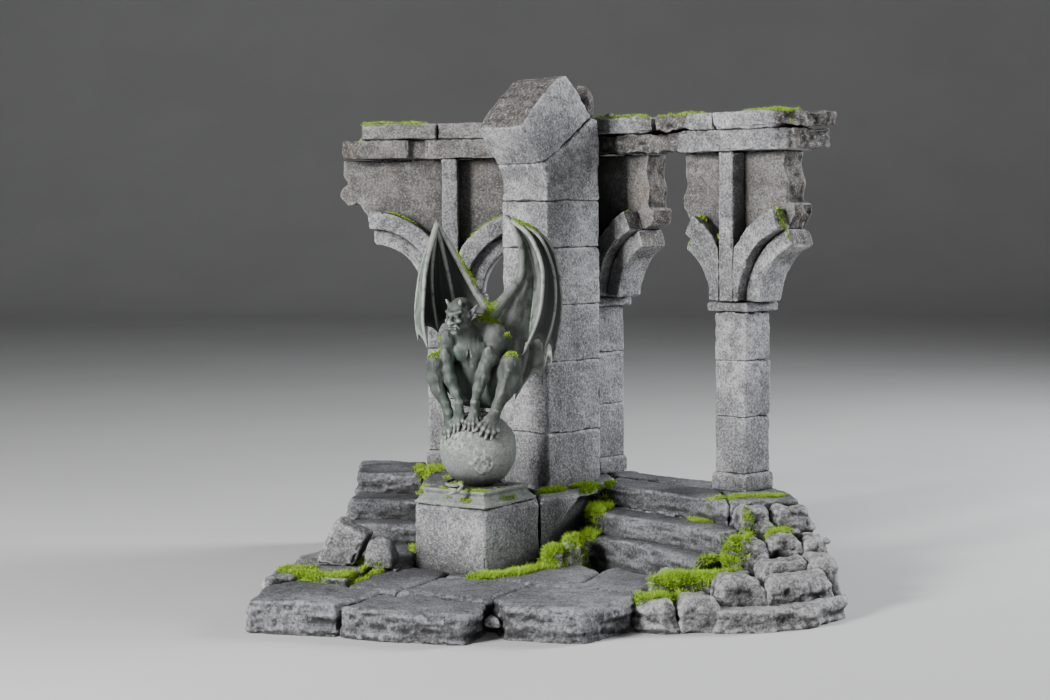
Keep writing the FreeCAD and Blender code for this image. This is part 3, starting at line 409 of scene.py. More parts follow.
def verdigris_material():
    """Dark cast statue: grey green, with painted shade in the hollows and corners, pale grey on
    the worn edges and painted highlights on faces turned to the light.
    """
    n = Nodes("verdigris_stone")
    mottle = n.ramp(n.noise(85, 6, 0.65), 0.36, 0.64)
    streak = n.ramp(n.noise(55, 5, 0.6, (1.0, 1.0, 0.22)), 0.50, 0.68)
    # painted shade in the corners between the statue's parts, from ambient occlusion
    corner = n.ramp(n.painted_occlusion(0.013), 0.32, 0.86)
    # the edge value holds the worn edges and also the painted highlights set in finish_statue
    brushed = n.maths("MULTIPLY", n.value("edge"), n.ramp(n.noise(210, 3, 0.6), 0.20, 0.55))
    colour = n.layered(
        n.mix(mottle, (0.029, 0.037, 0.032), (0.076, 0.088, 0.078)),
        (streak, 0.55, (0.045, 0.105, 0.070)), (n.value("hollow_shade"), 0.94, (0.008, 0.012, 0.010)),
        (corner, 0.85, (0.007, 0.010, 0.009)), (brushed, 0.70, (0.48, 0.50, 0.465)))
    normal = n.bump(n.noise(800, 5, 0.7), 0.0003, 0.5)
    return n.finish(colour, n.maths("SUBTRACT", 0.62, n.share(n.value("edge"), 0.14)), normal)


def moss_material(name, light, dark):
    n = Nodes(name)
    pale = tuple(min(1.0, part * 1.5) for part in light)
    dry = n.ramp(n.noise(60, 3, 0.6), 0.60, 0.74)
    colour = n.layered(n.mix(n.ramp(n.noise(130, 4, 0.6), 0.36, 0.64), dark, light),
                       (n.value("tip"), 0.75, pale), (dry, 0.7, (0.20, 0.13, 0.04)))
    return n.finish(colour, 0.9)


def steel_material():
    n = Nodes("steel")
    grain = n.noise(300, 4, 0.6, (1.0, 1.0, 0.05))
    n.shader.inputs["Metallic"].default_value = 1.0
    normal = n.bump(n.noise(900, 3, 0.6), 0.0001, 0.4)
    return n.finish(n.mix(grain, (0.42, 0.42, 0.43), (0.62, 0.62, 0.63)), 0.34, normal)


VERDIGRIS = verdigris_material()
MOSS = moss_material("moss", (0.30, 0.47, 0.024), (0.080, 0.155, 0.011))
STEEL = steel_material()

# ---- weathered stones

body_of_node = {}
for body_name, node_names in frame["record"]["behaviour"]["bodies"].items():
    for node_name in node_names:
        body_of_node[node_name] = body_name

ground = {}


def chiselled(points, count, seed, bite):
    """Flattens a rock against a few random planes, so that it has faces and blunt ridges."""
    dice = np.random.default_rng(seed)
    centre = points.mean(axis=0)
    spread = points - centre
    for _ in range(count):
        way = dice.normal(size=3)
        way[2] = abs(way[2]) * 0.8 + 0.1
        way /= np.linalg.norm(way)
        reach = spread @ way
        limit = reach.max() * (1.0 - bite * (0.4 + 0.6 * dice.random()))
        over = np.maximum(reach - limit, 0.0)
        spread = spread - way * (over * 0.85)[:, None]
    return spread + centre


def squared(points, share):
    """Fills a round rock out towards its own box."""
    low, high = points.min(axis=0), points.max(axis=0)
    local = (points - (low + high) / 2) / ((high - low) / 2)
    length = np.sqrt((local ** 2).sum(axis=1)) + 1e-6
    blunt = ((local ** 4).sum(axis=1)) ** 0.25 + 1e-6
    return (low + high) / 2 + (points - (low + high) / 2) * ((length / blunt) ** share)[:, None]


def weathered(node, material, voxel=0.8, rounding=5, lumps=0.45, grain=0.13, chips=0.9,
              broken=None, break_depth=2.2, swell=0.0, faces_cut=0, bite=0.16,
              strata=0.0, boxy=0.0, pieces=None):
    """Replaces a CAD node by the same solid with worn, chipped and pitted surfaces.

    broken(points, normals) gives 0 to 1 where the stone is freshly broken; strata is how
    deep the beds show on its sides."""
    parts = []
    for number, (corners, loops) in enumerate(pieces or islands(node)):
        points, faces, edges = remeshed(corners, loops, voxel)
        rounds = max(2, int(rounding * (0.8 / voxel) ** 2))
        normals = vertex_normals(points, faces)
        flat_normals = relax(normals, edges, 2)
        mask = broken(points, flat_normals) if broken else np.zeros(len(points), "f4")
        mask = relax(mask.astype("f4"), edges, 4)
        ridge = step(0.02, 0.10, convexity(points, edges, normals, 3) / voxel)
        if boxy:
            points = squared(points, boxy)
        if faces_cut:
            points = chiselled(points, faces_cut, 7 * number + len(node), bite)
        points = relax(points, edges, rounds)
        normals = vertex_normals(points, faces)
        field = points + 40.0 * number
        move = np.full(len(points), swell, "f4")
        move += lumps * rumple(field, 19.0, 3, 0)
        move += grain * rumple(field, 2.4, 3, 2)
        pits = step(0.55, 1.0, rumple(field, 2.6, 2, 4))
        move -= 0.30 * pits * step(0.0, 0.7, rumple(field, 27.0, 2, 1))
        bites = step(0.05, 0.65, rumple(field, 8.0, 3, 3))
        move -= chips * relax(ridge, edges, 3) * bites
        if strata:
            upright = 1.0 - np.abs(normals[:, 2])
            bed = field * np.array((0.22, 0.22, 1.0), "f4")
            beds = rumple(bed, 5.0, 3, 1) + 0.5 * rumple(field, 5.0, 3, 4)
            move += strata * upright * (beds - 0.2)
        crags = 1.0 - np.abs(rumple(field, 15.0, 3, 5, 0.45))
        shards = rumple(field, 5.5, 3, 1, 0.5)
        move += mask * break_depth * (0.55 * crags - 0.75 + 0.45 * shards)
        points = points + normals * move[:, None]
        points = relax(points, edges, 1, 0.3)
        normals = vertex_normals(points, faces)
        stand = convexity(points, edges, normals, 1) / voxel
        spread = relax(stand, edges, 7)
        parts.append((points, faces, {
            "edge": step(0.04, 0.17, 0.5 * stand + 1.2 * spread) * (1.0 - 0.55 * mask),
            # painted shade in the hollows and joints of the worn stone
            "hollow_shade": step(0.03, 0.15, -0.7 * stand - 1.1 * spread),
            "broken": mask}))
    points, faces, values = joined(parts)
    thing = mesh_object(node + "_worn", points, faces, material, values)
    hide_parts(node)
    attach(thing, body_of_node[node])
    ground.setdefault(body_of_node[node], []).append((points, faces))


def facing(direction, low=0.4, high=0.8):
    """1 where a surface looks a given way."""
    axis = np.array(direction, "f4")
    axis /= np.linalg.norm(axis)
    return lambda points, normals: step(low, high, normals @ axis)


def either(*masks):
    """1 where any of the masks is."""
    return lambda points, normals: np.maximum.reduce([mask(points, normals) for mask in masks])


def both(first, second):
    """1 where both masks are."""
    return lambda points, normals: first(points, normals) * second(points, normals)


def in_box(low, high, soft=3.0):
    """1 inside a box, fading out over its sides."""
    low, high = np.array(low), np.array(high)

    def mask(points, normals):
        inside = np.minimum(points - low, high - points).min(axis=1)
        return step(-soft, soft, inside)
    return mask


# the directions of the two walls, and a reach beyond the whole object
RIGHT_TURN, LEFT_TURN = -45, -8
RIGHT_ALONG, LEFT_ALONG = (
    np.array((math.cos(math.radians(turn)), math.sin(math.radians(turn)), 0))
    for turn in (RIGHT_TURN, LEFT_TURN))
FAR = 400


def end_column():
    """The end column's axis, in mm: the middle of its own foot."""
    corners = max((np.array(piece[0]) for piece in islands("right_column_bases")),
                  key=lambda piece: piece[:, 0].max())
    return (corners.min(axis=0) + corners.max(axis=0)) / 2 * METRE


END_COLUMN = end_column()
LEFT_COLUMN = np.add(*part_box("left_column_base")) / 2 * METRE


def places_over(column, way):
    """Finds places over a wall: so far along it from its column, and out of its face."""
    front = np.array((way[1], -way[0], 0))

    def place(along, out=0.0):
        spot = column + along * way + out * front
        return spot[0], spot[1]
    return place


right_wall = places_over(END_COLUMN, RIGHT_ALONG)
left_wall = places_over(LEFT_COLUMN, LEFT_ALONG)


def along_right(low, high, soft=2.0):
    """1 where a point lies between two distances along the right wall from its end column."""
    start = END_COLUMN @ RIGHT_ALONG

    def mask(points, normals):
        reach = points @ RIGHT_ALONG - start
        return step(-soft, soft, np.minimum(reach - low, high - reach))
    return mask


top_of_rib = box_of("pier_broken_rib")[1][2]


def base_stones():
    weathered("base_core", STONE, voxel=1.6, rounding=2)
    weathered("terrace_core", STONE, voxel=1.6, rounding=3, lumps=0.6)
    weathered("front_slabs", SHADED_PAVING, rounding=14, lumps=0.9, grain=0.35, chips=2.4, swell=0.4,
              strata=2.1)
    weathered("paving_slabs", SHADED_PAVING, rounding=18, lumps=0.8, grain=0.16, chips=1.8, swell=0.35,
              strata=0.5)
    weathered("gap_stone", STONE, rounding=20, lumps=0.8, swell=0.6, faces_cut=6)
    for node in ("terrace_slabs", "right_landing_slabs", "left_landing", "left_floor_slab"):
        weathered(node, SHADED_PAVING, rounding=10, lumps=0.8, chips=2.2, swell=0.3, strata=1.5)
    for node in ("left_steps", "right_steps"):
        weathered(node, SHADED_PAVING, rounding=13, lumps=0.8, chips=2.4, swell=0.4, strata=1.2)
    weathered("left_mound_rock", STONE, rounding=22, lumps=2.0, grain=0.3, chips=1.8, strata=1.6)
    weathered("pedestal_block", STONE, rounding=6, lumps=0.7, grain=0.2, chips=1.4)
    weathered("pedestal_side_block", STONE, rounding=8, lumps=0.8, grain=0.2, chips=1.5)
    weathered("fallen_block", STONE, rounding=14, lumps=1.1, grain=0.25, chips=2.2, swell=0.5)
    weathered("small_block", STONE, rounding=14, lumps=1.0, chips=1.2, swell=0.8, faces_cut=6)


def all_over(share):
    """The same everywhere."""
    return lambda points, normals: np.full(len(points), share, "f4")


def bank_rocks():
    """The tumbled, bedded rocks of the right bank and the rubble in the gap."""
    for node in ("bank_rocks_upper", "bank_rocks_lower", "cave_rubble"):
        weathered(node, STONE, rounding=5, lumps=1.8, grain=0.35, chips=1.6, swell=2.2,
                  strata=2.0, faces_cut=6, bite=0.14, broken=all_over(0.36), break_depth=3.0,
                  boxy=0.85)
    weathered("kerb_stones", STONE, rounding=7, lumps=1.2, grain=0.35, chips=2.0, swell=1.0,
              strata=1.8, broken=all_over(0.25), break_depth=2.0, boxy=0.5)


def pier_stones():
    weathered("pier_courses", STONE, rounding=4, lumps=0.40, swell=0.2, grain=0.17, chips=0.8)
    weathered("corner_core", STONE, voxel=1.2, rounding=4, lumps=0.3, swell=-0.7)
    weathered("pier_springer", STONE, rounding=4, swell=0.15, lumps=0.5, grain=0.17, chips=1.2)
    top_break = both(facing((-0.45, -0.45, 0.75), 0.40, 0.75),
                     in_box((-FAR, -FAR, top_of_rib - 36), (FAR, FAR, FAR)))
    weathered("pier_broken_rib", STONE, rounding=7, lumps=0.7, grain=0.18, chips=1.4,
              break_depth=2.4, broken=top_break)
    weathered("pier_head_boulder", STONE, rounding=10, lumps=1.2, grain=0.3, swell=-0.2,
              faces_cut=8, broken=all_over(1.0), break_depth=0.8)


def column_stones(base, drums, collar):
    weathered(base, STONE, voxel=0.6, rounding=4, lumps=0.35, chips=1.0)
    weathered(drums, STONE, voxel=0.7, rounding=4, swell=0.1, lumps=0.35, chips=1.3)
    weathered(collar, STONE, voxel=0.6, rounding=4, lumps=0.3, chips=1.1)


def arch_stones(panel, rings, soffits, strip, ends, panel_chips, panel_depth, arch_depth):
    """The wall over the columns: ends(points, normals) tells where it is broken off."""
    weathered(panel, PANEL, rounding=4, lumps=0.6, grain=0.18, chips=panel_chips, broken=ends,
              break_depth=panel_depth)
    for node, chips in ((rings, 1.4), (soffits, 1.2)):
        weathered(node, STONE, voxel=0.7, rounding=6, lumps=0.4, chips=chips, broken=ends,
                  break_depth=arch_depth)
    weathered(strip, STONE, voxel=0.7, rounding=5, lumps=0.3, chips=1.0)


def cornice(node, material, chips, break_zone, depth):
    weathered(node, material, rounding=8, lumps=0.6, grain=0.18, chips=chips, broken=break_zone,
              break_depth=depth, strata=0.5)


def right_arcade_stones():
    column_stones("right_column_bases", "right_arcade_drums", "right_column_collars")
    sideways = either(facing(RIGHT_ALONG), facing(-RIGHT_ALONG))
    ends = both(sideways, in_box((-FAR, -FAR, 196), (FAR, FAR, 262), 5.0))
    arch_stones("right_spandrel_panels", "right_arch_rings", "right_arch_soffits",
                "right_pilaster_strips", ends, 1.4, 2.4, 1.8)
    upper_break = either(along_right(-66, -27), along_right(40, 90))
    lower_break = either(along_right(-140, -36), along_right(43, 90))
    cornice("right_cornice_upper", STONE, 1.8, upper_break, 3.2)
    cornice("right_cornice_lower", STONE, 1.8, lower_break, 3.0)


def left_arcade_stones():
    column_stones("left_column_base", "left_column_drums", "left_column_collar")
    ends = both(facing(-LEFT_ALONG), in_box((-FAR, -FAR, 205), (-110, FAR, 262), 5.0))
    arch_stones("left_spandrel_panel", "left_arch_rings", "left_arch_soffits",
                "left_pilaster_strip", ends, 1.6, 2.0, 1.6)
    end = box_of("left_cornice_lower")[0][0]
    break_zone = in_box((end - 5, -FAR, 200), (end + 11, FAR, FAR), 4.0)
    for node in ("left_cornice_upper", "left_cornice_lower"):
        cornice(node, PANEL, 1.9, break_zone, 2.2)


def steel_parts():
    for node in ("pier_dowel", "left_column_dowel", "right_arcade_dowels", "statue_peg",
                 "corner_magnets", "left_arcade_magnet", "right_arcade_magnet"):
        weathered(node, STEEL, voxel=0.4, rounding=2, lumps=0.03, grain=0.02, chips=0.15)


base_stones()
bank_rocks()
pier_stones()
right_arcade_stones()
left_arcade_stones()
steel_parts()

# ---- statue: plinth cap and globe


def unit(vector):
    vector = np.array(vector, float)
    return vector / np.linalg.norm(vector)


def moulded_cap():
    """The cap's own section, swept square: a low foot, a hollow slope and a thin square lip."""
    low, high = box_of("plinth_cap")
    middle = (low + high) / 2
    half = (high[0] - low[0]) / 2 / (math.cos(CAP_TURN) + math.sin(CAP_TURN))
    rise = high[2] - low[2]
    section = [(0.0, 0.03), (0.0, 0.0), (0.05, 0.0), (0.24, 0.0), (0.28, 0.012), (0.31, 0.045)]
    for stage in range(9):
        part = stage / 8
        section.append((0.34 + 0.44 * part, 0.050 + 0.100 * math.sin(part * math.pi / 2)))
    section += [(0.80, 0.132), (0.83, 0.118), (0.97, 0.118), (1.0, 0.130)]
    corners = []
    turn = Matrix.Rotation(-CAP_TURN, 3, "Z")
    for up, inset in section:
        reach = half * (1.0 - inset)
        for x_side, y_side in ((-1, -1), (1, -1), (1, 1), (-1, 1)):
            turned = turn @ Vector((x_side * reach, y_side * reach, 0))
            corners.append((Vector((middle[0], middle[1], low[2] + up * rise)) + turned) * MM)
    last = 4 * (len(section) - 1)
    ends = [[3, 2, 1, 0], [last, last + 1, last + 2, last + 3]]
    return [(corners, grid_faces(len(section), 4, True).tolist() + ends)]


CAP_TURN = math.radians(35.2)
weathered("plinth_cap", GLOBE_STONE, voxel=0.45, rounding=2, lumps=0.15, grain=0.08, chips=0.5,
          pieces=moulded_cap())


def icosphere(radius, subdivisions):
    ball = bmesh.new()
    bmesh.ops.create_icosphere(ball, subdivisions=subdivisions, radius=radius)
    points = np.array([vertex.co[:] for vertex in ball.verts], "f4")
    faces = np.array([[vertex.index for vertex in face.verts] for face in ball.faces], "i4")
    ball.free()
    return points, faces


globe_low, globe_high = box_of("globe")
GLOBE = (globe_low + globe_high) / 2
GLOBE_RADIUS = (globe_high[2] - globe_low[2]) / 2


LANDS = [((-0.62, -0.60, 0.42), 0.84), ((0.05, -0.96, -0.28), 0.94), ((0.75, 0.40, 0.30), 0.88),
         ((-0.30, 0.90, 0.05), 0.90)]


def make_globe():
    """The globe: a few worn lands with rough carving on a smooth ball."""
    points, faces = icosphere(1.0, 7)
    normals = points / np.linalg.norm(points, axis=1, keepdims=True)
    points = normals * GLOBE_RADIUS
    lands = np.zeros(len(points), "f4")
    for toward, width in LANDS:
        near = normals @ unit(toward) + 0.05 * rumple(points, 9.0, 2, 3)
        lands = np.maximum(lands, step(width, width + 0.03, near))
    carving = rumple(points, 2.8, 3, 1) * lands
    move = 0.25 * lands + 0.50 * carving + 0.04 * rumple(points, 1.6, 2, 2) - 0.45
    points = GLOBE + normals * (GLOBE_RADIUS + move)[:, None]
    edges = edges_of(faces)
    normals = vertex_normals(points, faces)
    stand = relax(convexity(points, edges, normals, 3), edges, 3)
    # the hollows of the carving get painted shade
    values = {"edge": step(0.003, 0.016, stand), "hollow_shade": 0.6 * step(0.003, 0.016, -stand),
              "broken": np.zeros(len(points))}
    thing = mesh_object("globe_worn", points, faces, GLOBE_STONE, values)
    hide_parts("globe")
    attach(thing, "statue")
    ground["statue"].append((points, faces))


make_globe()

# ---- statue: the gargoyle's body


class Clay:
    """A field of distances that forms are blended into, then skinned with a mesh."""

    def __init__(self, low, high, voxel):
        self.low = np.array(low, "f4")
        self.voxel = voxel
        counts = np.ceil((np.array(high) - self.low) / voxel).astype(int)
        self.field = np.full(counts, 6.0, "f4")

    def region(self, low, high):
        first = np.maximum(((np.array(low) - self.low) / self.voxel).astype(int), 0)
        last = np.minimum(((np.array(high) - self.low) / self.voxel).astype(int) + 2,
                          self.field.shape)
        axes = [self.low[axis] + self.voxel * np.arange(first[axis], last[axis])
                for axis in range(3)]
        grid = np.stack(np.meshgrid(*axes, indexing="ij"), axis=-1).astype("f4")
        cut = tuple(slice(first[axis], last[axis]) for axis in range(3))
        return cut, grid

    def put(self, cut, distance, blend, carve):
        """Blends a form into the field, or carves it out."""
        here = self.field[cut]
        form = -distance if carve else distance
        mingle = np.maximum(blend - np.abs(here - form), 0.0) / blend
        fillet = mingle * mingle * blend * 0.25
        self.field[cut] = (np.maximum(here, form) + fillet if carve
                           else np.minimum(here, form) - fillet)

    def limb(self, start, end, start_radius, end_radius, blend=2.0, carve=False):
        start, end = np.array(start, "f4"), np.array(end, "f4")
        reach = max(start_radius, end_radius) + blend + 1.5
        cut, grid = self.region(np.minimum(start, end) - reach, np.maximum(start, end) + reach)
        axis = end - start
        along = np.clip(((grid - start) @ axis) / max(float(axis @ axis), 1e-6), 0.0, 1.0)
        gap = grid - start - along[..., None] * axis
        distance = np.sqrt((gap * gap).sum(axis=-1))
        distance -= start_radius + (end_radius - start_radius) * along
        self.put(cut, distance, blend, carve)

    def run(self, stations, blend=2.0):
        """A limb through several (x, y, z, radius) stations."""
        for first, second in zip(stations, stations[1:]):
            self.limb(first[:3], second[:3], first[3], second[3], blend)

    def lump(self, centre, radii, blend=2.0, axes=None, carve=False):
        """An ellipsoid; the rows of axes are its own directions."""
        centre, radii = np.array(centre, "f4"), np.array(radii, "f4")
        reach = radii.max() + blend + 1.5
        cut, grid = self.region(centre - reach, centre + reach)
        local = grid - centre
        if axes is not None:
            local = local @ np.array(axes, "f4").T
        scaled = np.sqrt(((local / radii) ** 2).sum(axis=-1))
        slope = np.sqrt(((local / radii ** 2) ** 2).sum(axis=-1))
        distance = scaled * (scaled - 1.0) / np.maximum(slope, 1e-5)
        self.put(cut, distance, blend, carve)

    def skin(self):
        grid = openvdb.FloatGrid(background=6.0)
        grid.copyFromArray(self.field)
        points, quads = grid.convertToQuads(0.0)
        points = points.astype("f4") * self.voxel + self.low
        quads = quads.astype("i4")
        normals = vertex_normals(points, quads)
        centre = points.mean(axis=0)
        outward = ((points - centre) * normals).sum()
        return points, quads if outward > 0 else quads[:, ::-1]


def sculpt_body():
    """The crouching body, from the middle of the globe: +X to its left hand, -Y forwards."""
    clay = Clay((-36, -34, 2), (34, 24, 98), 0.36)
    trunk(clay)
    arms(clay)
    legs(clay)
    hands_and_feet(clay)
    head(clay)
    return clay.skin()


def trunk(clay):
    clay.lump((0.5, 6, 34), (12, 9, 10))
    clay.limb((0, 4, 38), (-2.5, 0, 52), 8.6, 9.2, 3)
    clay.lump((-3.2, -0.5, 60), (14.0, 9.2, 10.5), 3)
    clay.lump((4.5, 2.5, 71), (11.0, 8.5, 7.5), 4)
    clay.lump((-9.6, -8.0, 58.5), (6.2, 3.0, 5.0), 2.6)
    clay.lump((0.6, -8.4, 59.5), (6.4, 3.0, 5.2), 2.6)
    clay.limb((-4.6, -10.4, 63), (-4.4, -8.6, 44), 0.5, 0.4, 1.4, carve=True)
    for bone in range(8):
        clay.lump((-1.5 + 0.4 * bone, 8.6 + 0.6 * bone, 72 - 5.2 * bone), (1.5, 1.7, 1.7), 1.4)
    for side in (-1, 1):
        clay.lump((2.0 + 7.5 * side, 7.0, 66), (4.8, 2.6, 7.0), 2.2)


def arms(clay):
    """Bent arms with full shoulders, both hands down on the globe between the feet."""
    clay.limb((-4.5, -4, 66), (-9.2, -10.0, 75), 7.4, 5.6, 3)
    clay.limb((-6, -2, 69), (-16, -3, 67), 5.0, 4.2, 3)
    clay.limb((-1, -1, 71), (10, -3, 70), 5.4, 5.0, 3)
    clay.lump((-17.6, -5.0, 64.2), (5.4, 5.8, 7.6), 1.4)
    clay.lump((12.2, -4.4, 65.2), (8.6, 7.6, 9.6), 1.6)
    clay.run([(-18.2, -5.2, 62, 4.6), (-18.0, -8.2, 55.5, 4.8), (-17.0, -10.0, 48.5, 3.5)], 1.4)
    clay.run([(-17.0, -10.0, 48.5, 3.5), (-15.2, -11.4, 42.5, 4.0), (-12.6, -13.2, 35.5, 3.1),
              (-10.4, -14.8, 30.3, 2.3)], 1.4)
    clay.run([(11.6, -6.0, 62, 5.8), (8.6, -9.0, 56, 5.4), (5.0, -11.4, 50.5, 3.9)], 1.4)
    clay.run([(5.0, -11.4, 50.5, 3.9), (3.2, -12.8, 44.5, 4.5), (0.8, -14.4, 37, 3.3),
              (-1.2, -16.0, 30.5, 2.4)], 1.4)
    clay.lump((7.0, -12.6, 57.5), (3.0, 2.4, 4.4), 1.8)
    clay.lump((-18.8, -11.6, 57.0), (2.6, 2.2, 4.2), 1.8)


def legs(clay):
    """Drawn-up legs: heavy thighs, high knees, and shins down to the globe."""
    clay.run([(-6, 4, 34, 8.6), (-17, -2.0, 44, 7.8), (-24.2, -7.8, 51.5, 5.2)], 2.2)
    clay.lump((-24.8, -9.4, 53.0), (4.6, 4.4, 4.8), 1.4)
    clay.run([(-24.8, -8.4, 51, 5.0), (-24.6, -7.0, 44, 5.4), (-23.0, -8.0, 37, 4.4),
              (-18.8, -9.8, 28.5, 3.0), (-17.2, -10.4, 23.0, 2.9)], 1.5)
    clay.run([(8, 4, 33, 9.2), (15, -2, 42, 8.4), (19.6, -9.0, 51.0, 6.4)], 2.2)
    clay.lump((20.4, -11.6, 52.4), (5.8, 5.0, 5.6), 1.4)
    clay.run([(20.2, -10.4, 51, 6.0), (19.8, -8.2, 43, 6.8), (16.2, -10.4, 35, 5.2),
              (11.8, -14.0, 26.5, 3.1), (10.6, -15.4, 23.0, 3.0)], 1.5)
    clay.limb((18.4, -15.0, 48), (12.6, -15.2, 30), 1.8, 1.4, 3.0)
    clay.lump((22.2, -6.4, 40.0), (4.2, 4.0, 6.4), 2.2)


HEAD_CENTRE = (-9.6, -12.6, 81.2)

GRIPS = [
    # wrist or ankle, its radius, the knuckles' height, the tips of the digits, their radius
    ((-1.2, -16.0, 29.5), 2.4, 4.2, [(-8.0, -18.4, 14.6), (-5.4, -20.0, 13.6),
                                     (-2.4, -20.8, 13.4), (0.6, -20.6, 14.6),
                                     (3.0, -18.4, 18.2)], 1.5),
    ((-10.4, -14.8, 29.3), 2.3, 4.2, [(-20.4, -13.4, 13.8), (-18.2, -15.8, 13.0),
                                      (-15.4, -17.4, 13.0), (-12.6, -18.4, 14.2),
                                      (-9.0, -18.6, 17.4)], 1.45),
    ((-17.2, -10.2, 23.5), 2.9, 2.6, [(-23.4, -8.2, 9.4), (-22.2, -10.8, 8.6),
                                      (-20.4, -13.4, 8.4), (-18.0, -15.6, 9.6)], 1.8),
    ((10.6, -15.4, 23.5), 3.2, 3.6, [(-1.2, -20.4, 13.6), (1.6, -21.8, 11.0),
                                     (5.0, -22.6, 9.0), (8.6, -22.2, 8.8),
                                     (12.2, -20.6, 10.2)], 2.0),
]


def hands_and_feet(clay):
    """Splayed fingers and clawed toes that grip the globe."""
    for wrist, wrist_radius, lift, tips, radius in GRIPS:
        wrist = np.array(wrist)
        for tip in tips:
            end = on_globe(np.array(tip), radius * 0.55)
            knuckle = on_globe(wrist * 0.60 + end * 0.40, lift)
            joint = on_globe(wrist * 0.24 + end * 0.76, lift * 0.66)
            clay.limb(wrist, knuckle, wrist_radius * 0.80, radius * 1.05, 1.4)
            clay.limb(knuckle, joint, radius, radius * 0.90, 0.5)
            clay.lump(knuckle, [radius * 1.15] * 3, 0.6)
            clay.lump(joint, [radius] * 3, 0.4)
            clay.limb(joint, end, radius * 0.88, radius * 0.45, 0.4)


def on_globe(point, lift):
    return point / np.linalg.norm(point) * (GLOBE_RADIUS - 0.3 + lift)


def head(clay):
    """A plain demon's head, turned to its right: heavy brow, broad nose, horns, pointed ears."""
    centre = np.array(HEAD_CENTRE)
    forward = unit((-0.60, -0.78, -0.14))
    side = unit(np.cross((0, 0, 1.0), forward))
    upward = np.cross(forward, side)
    axes = np.stack([forward, side, upward])

    def spot(ahead, across, rise):
        return centre + forward * ahead + side * across + upward * rise

    clay.lump(spot(-1.4, 0, 1.6), (8.4, 7.2, 8.2), 1.6, axes)
    clay.lump(spot(3.0, 0, -3.6), (5.4, 5.4, 7.0), 2.0, axes)
    clay.lump(spot(3.2, 0, -7.6), (4.6, 4.8, 3.0), 1.6, axes)
    clay.lump(spot(6.4, 0, -9.0), (2.3, 2.6, 2.0), 1.4, axes)
    clay.limb(spot(8.0, 0, -0.4), spot(10.0, 0, -3.2), 1.1, 1.6, 1.0)
    for mirror in (-1, 1):
        clay.lump(spot(0.4, 4.9 * mirror, -5.4), (3.0, 1.9, 3.2), 2.0, axes)
        clay.lump(spot(8.6, 3.0 * mirror, 0.0), (2.2, 2.1, 1.5), 0.8, axes, carve=True)
        clay.lump(spot(6.7, 3.0 * mirror, -0.1), (1.5, 1.5, 1.1), 0.3, axes)
        clay.limb(spot(7.9, 0.9 * mirror, 1.3), spot(5.6, 5.2 * mirror, 2.6), 1.25, 1.0, 1.6)
        clay.lump(spot(6.6, 4.2 * mirror, -2.6), (1.8, 1.8, 1.5), 1.6, axes)
        clay.lump(spot(9.5, 1.5 * mirror, -3.4), (1.0, 1.0, 0.9), 0.7, axes)
        clay.limb(spot(8.4, 2.5 * mirror, -3.8), spot(6.8, 3.9 * mirror, -7.0), 0.6, 0.5, 1.0)
        clay.limb(spot(3.6, 3.7 * mirror, 5.4), spot(4.4, 4.8 * mirror, 8.0), 1.7, 1.1, 1.4)
        clay.limb(spot(4.4, 4.8 * mirror, 8.0), spot(5.2, 5.3 * mirror, 9.8), 1.1, 0.4, 0.4)
        clay.limb(spot(-0.8, 6.2 * mirror, -0.6), spot(-3.0, 8.6 * mirror, 2.2), 1.9, 1.4, 0.9)
        clay.limb(spot(-3.0, 8.6 * mirror, 2.2), spot(-4.8, 9.6 * mirror, 4.8), 1.4, 0.4, 0.5)
        clay.lump(spot(-0.6, 8.3 * mirror, 0.8), (0.8, 1.0, 1.7), 0.5, axes, carve=True)
    clay.limb(spot(10.0, -2.8, -6.1), spot(10.0, 2.8, -6.1), 1.2, 1.2, 0.3, carve=True)
    clay.limb(spot(8.2, -2.4, -5.5), spot(8.2, 2.4, -5.5), 0.8, 0.8, 0.4)
    clay.limb(spot(7.9, -2.1, -7.1), spot(7.9, 2.1, -7.1), 0.8, 0.8, 0.4)
    for crease in (0, 1):
        clay.limb(spot(8.0, -2.6, 3.6 + 1.5 * crease), spot(8.0, 2.6, 3.6 + 1.5 * crease),
                  0.35, 0.35, 0.8, carve=True)


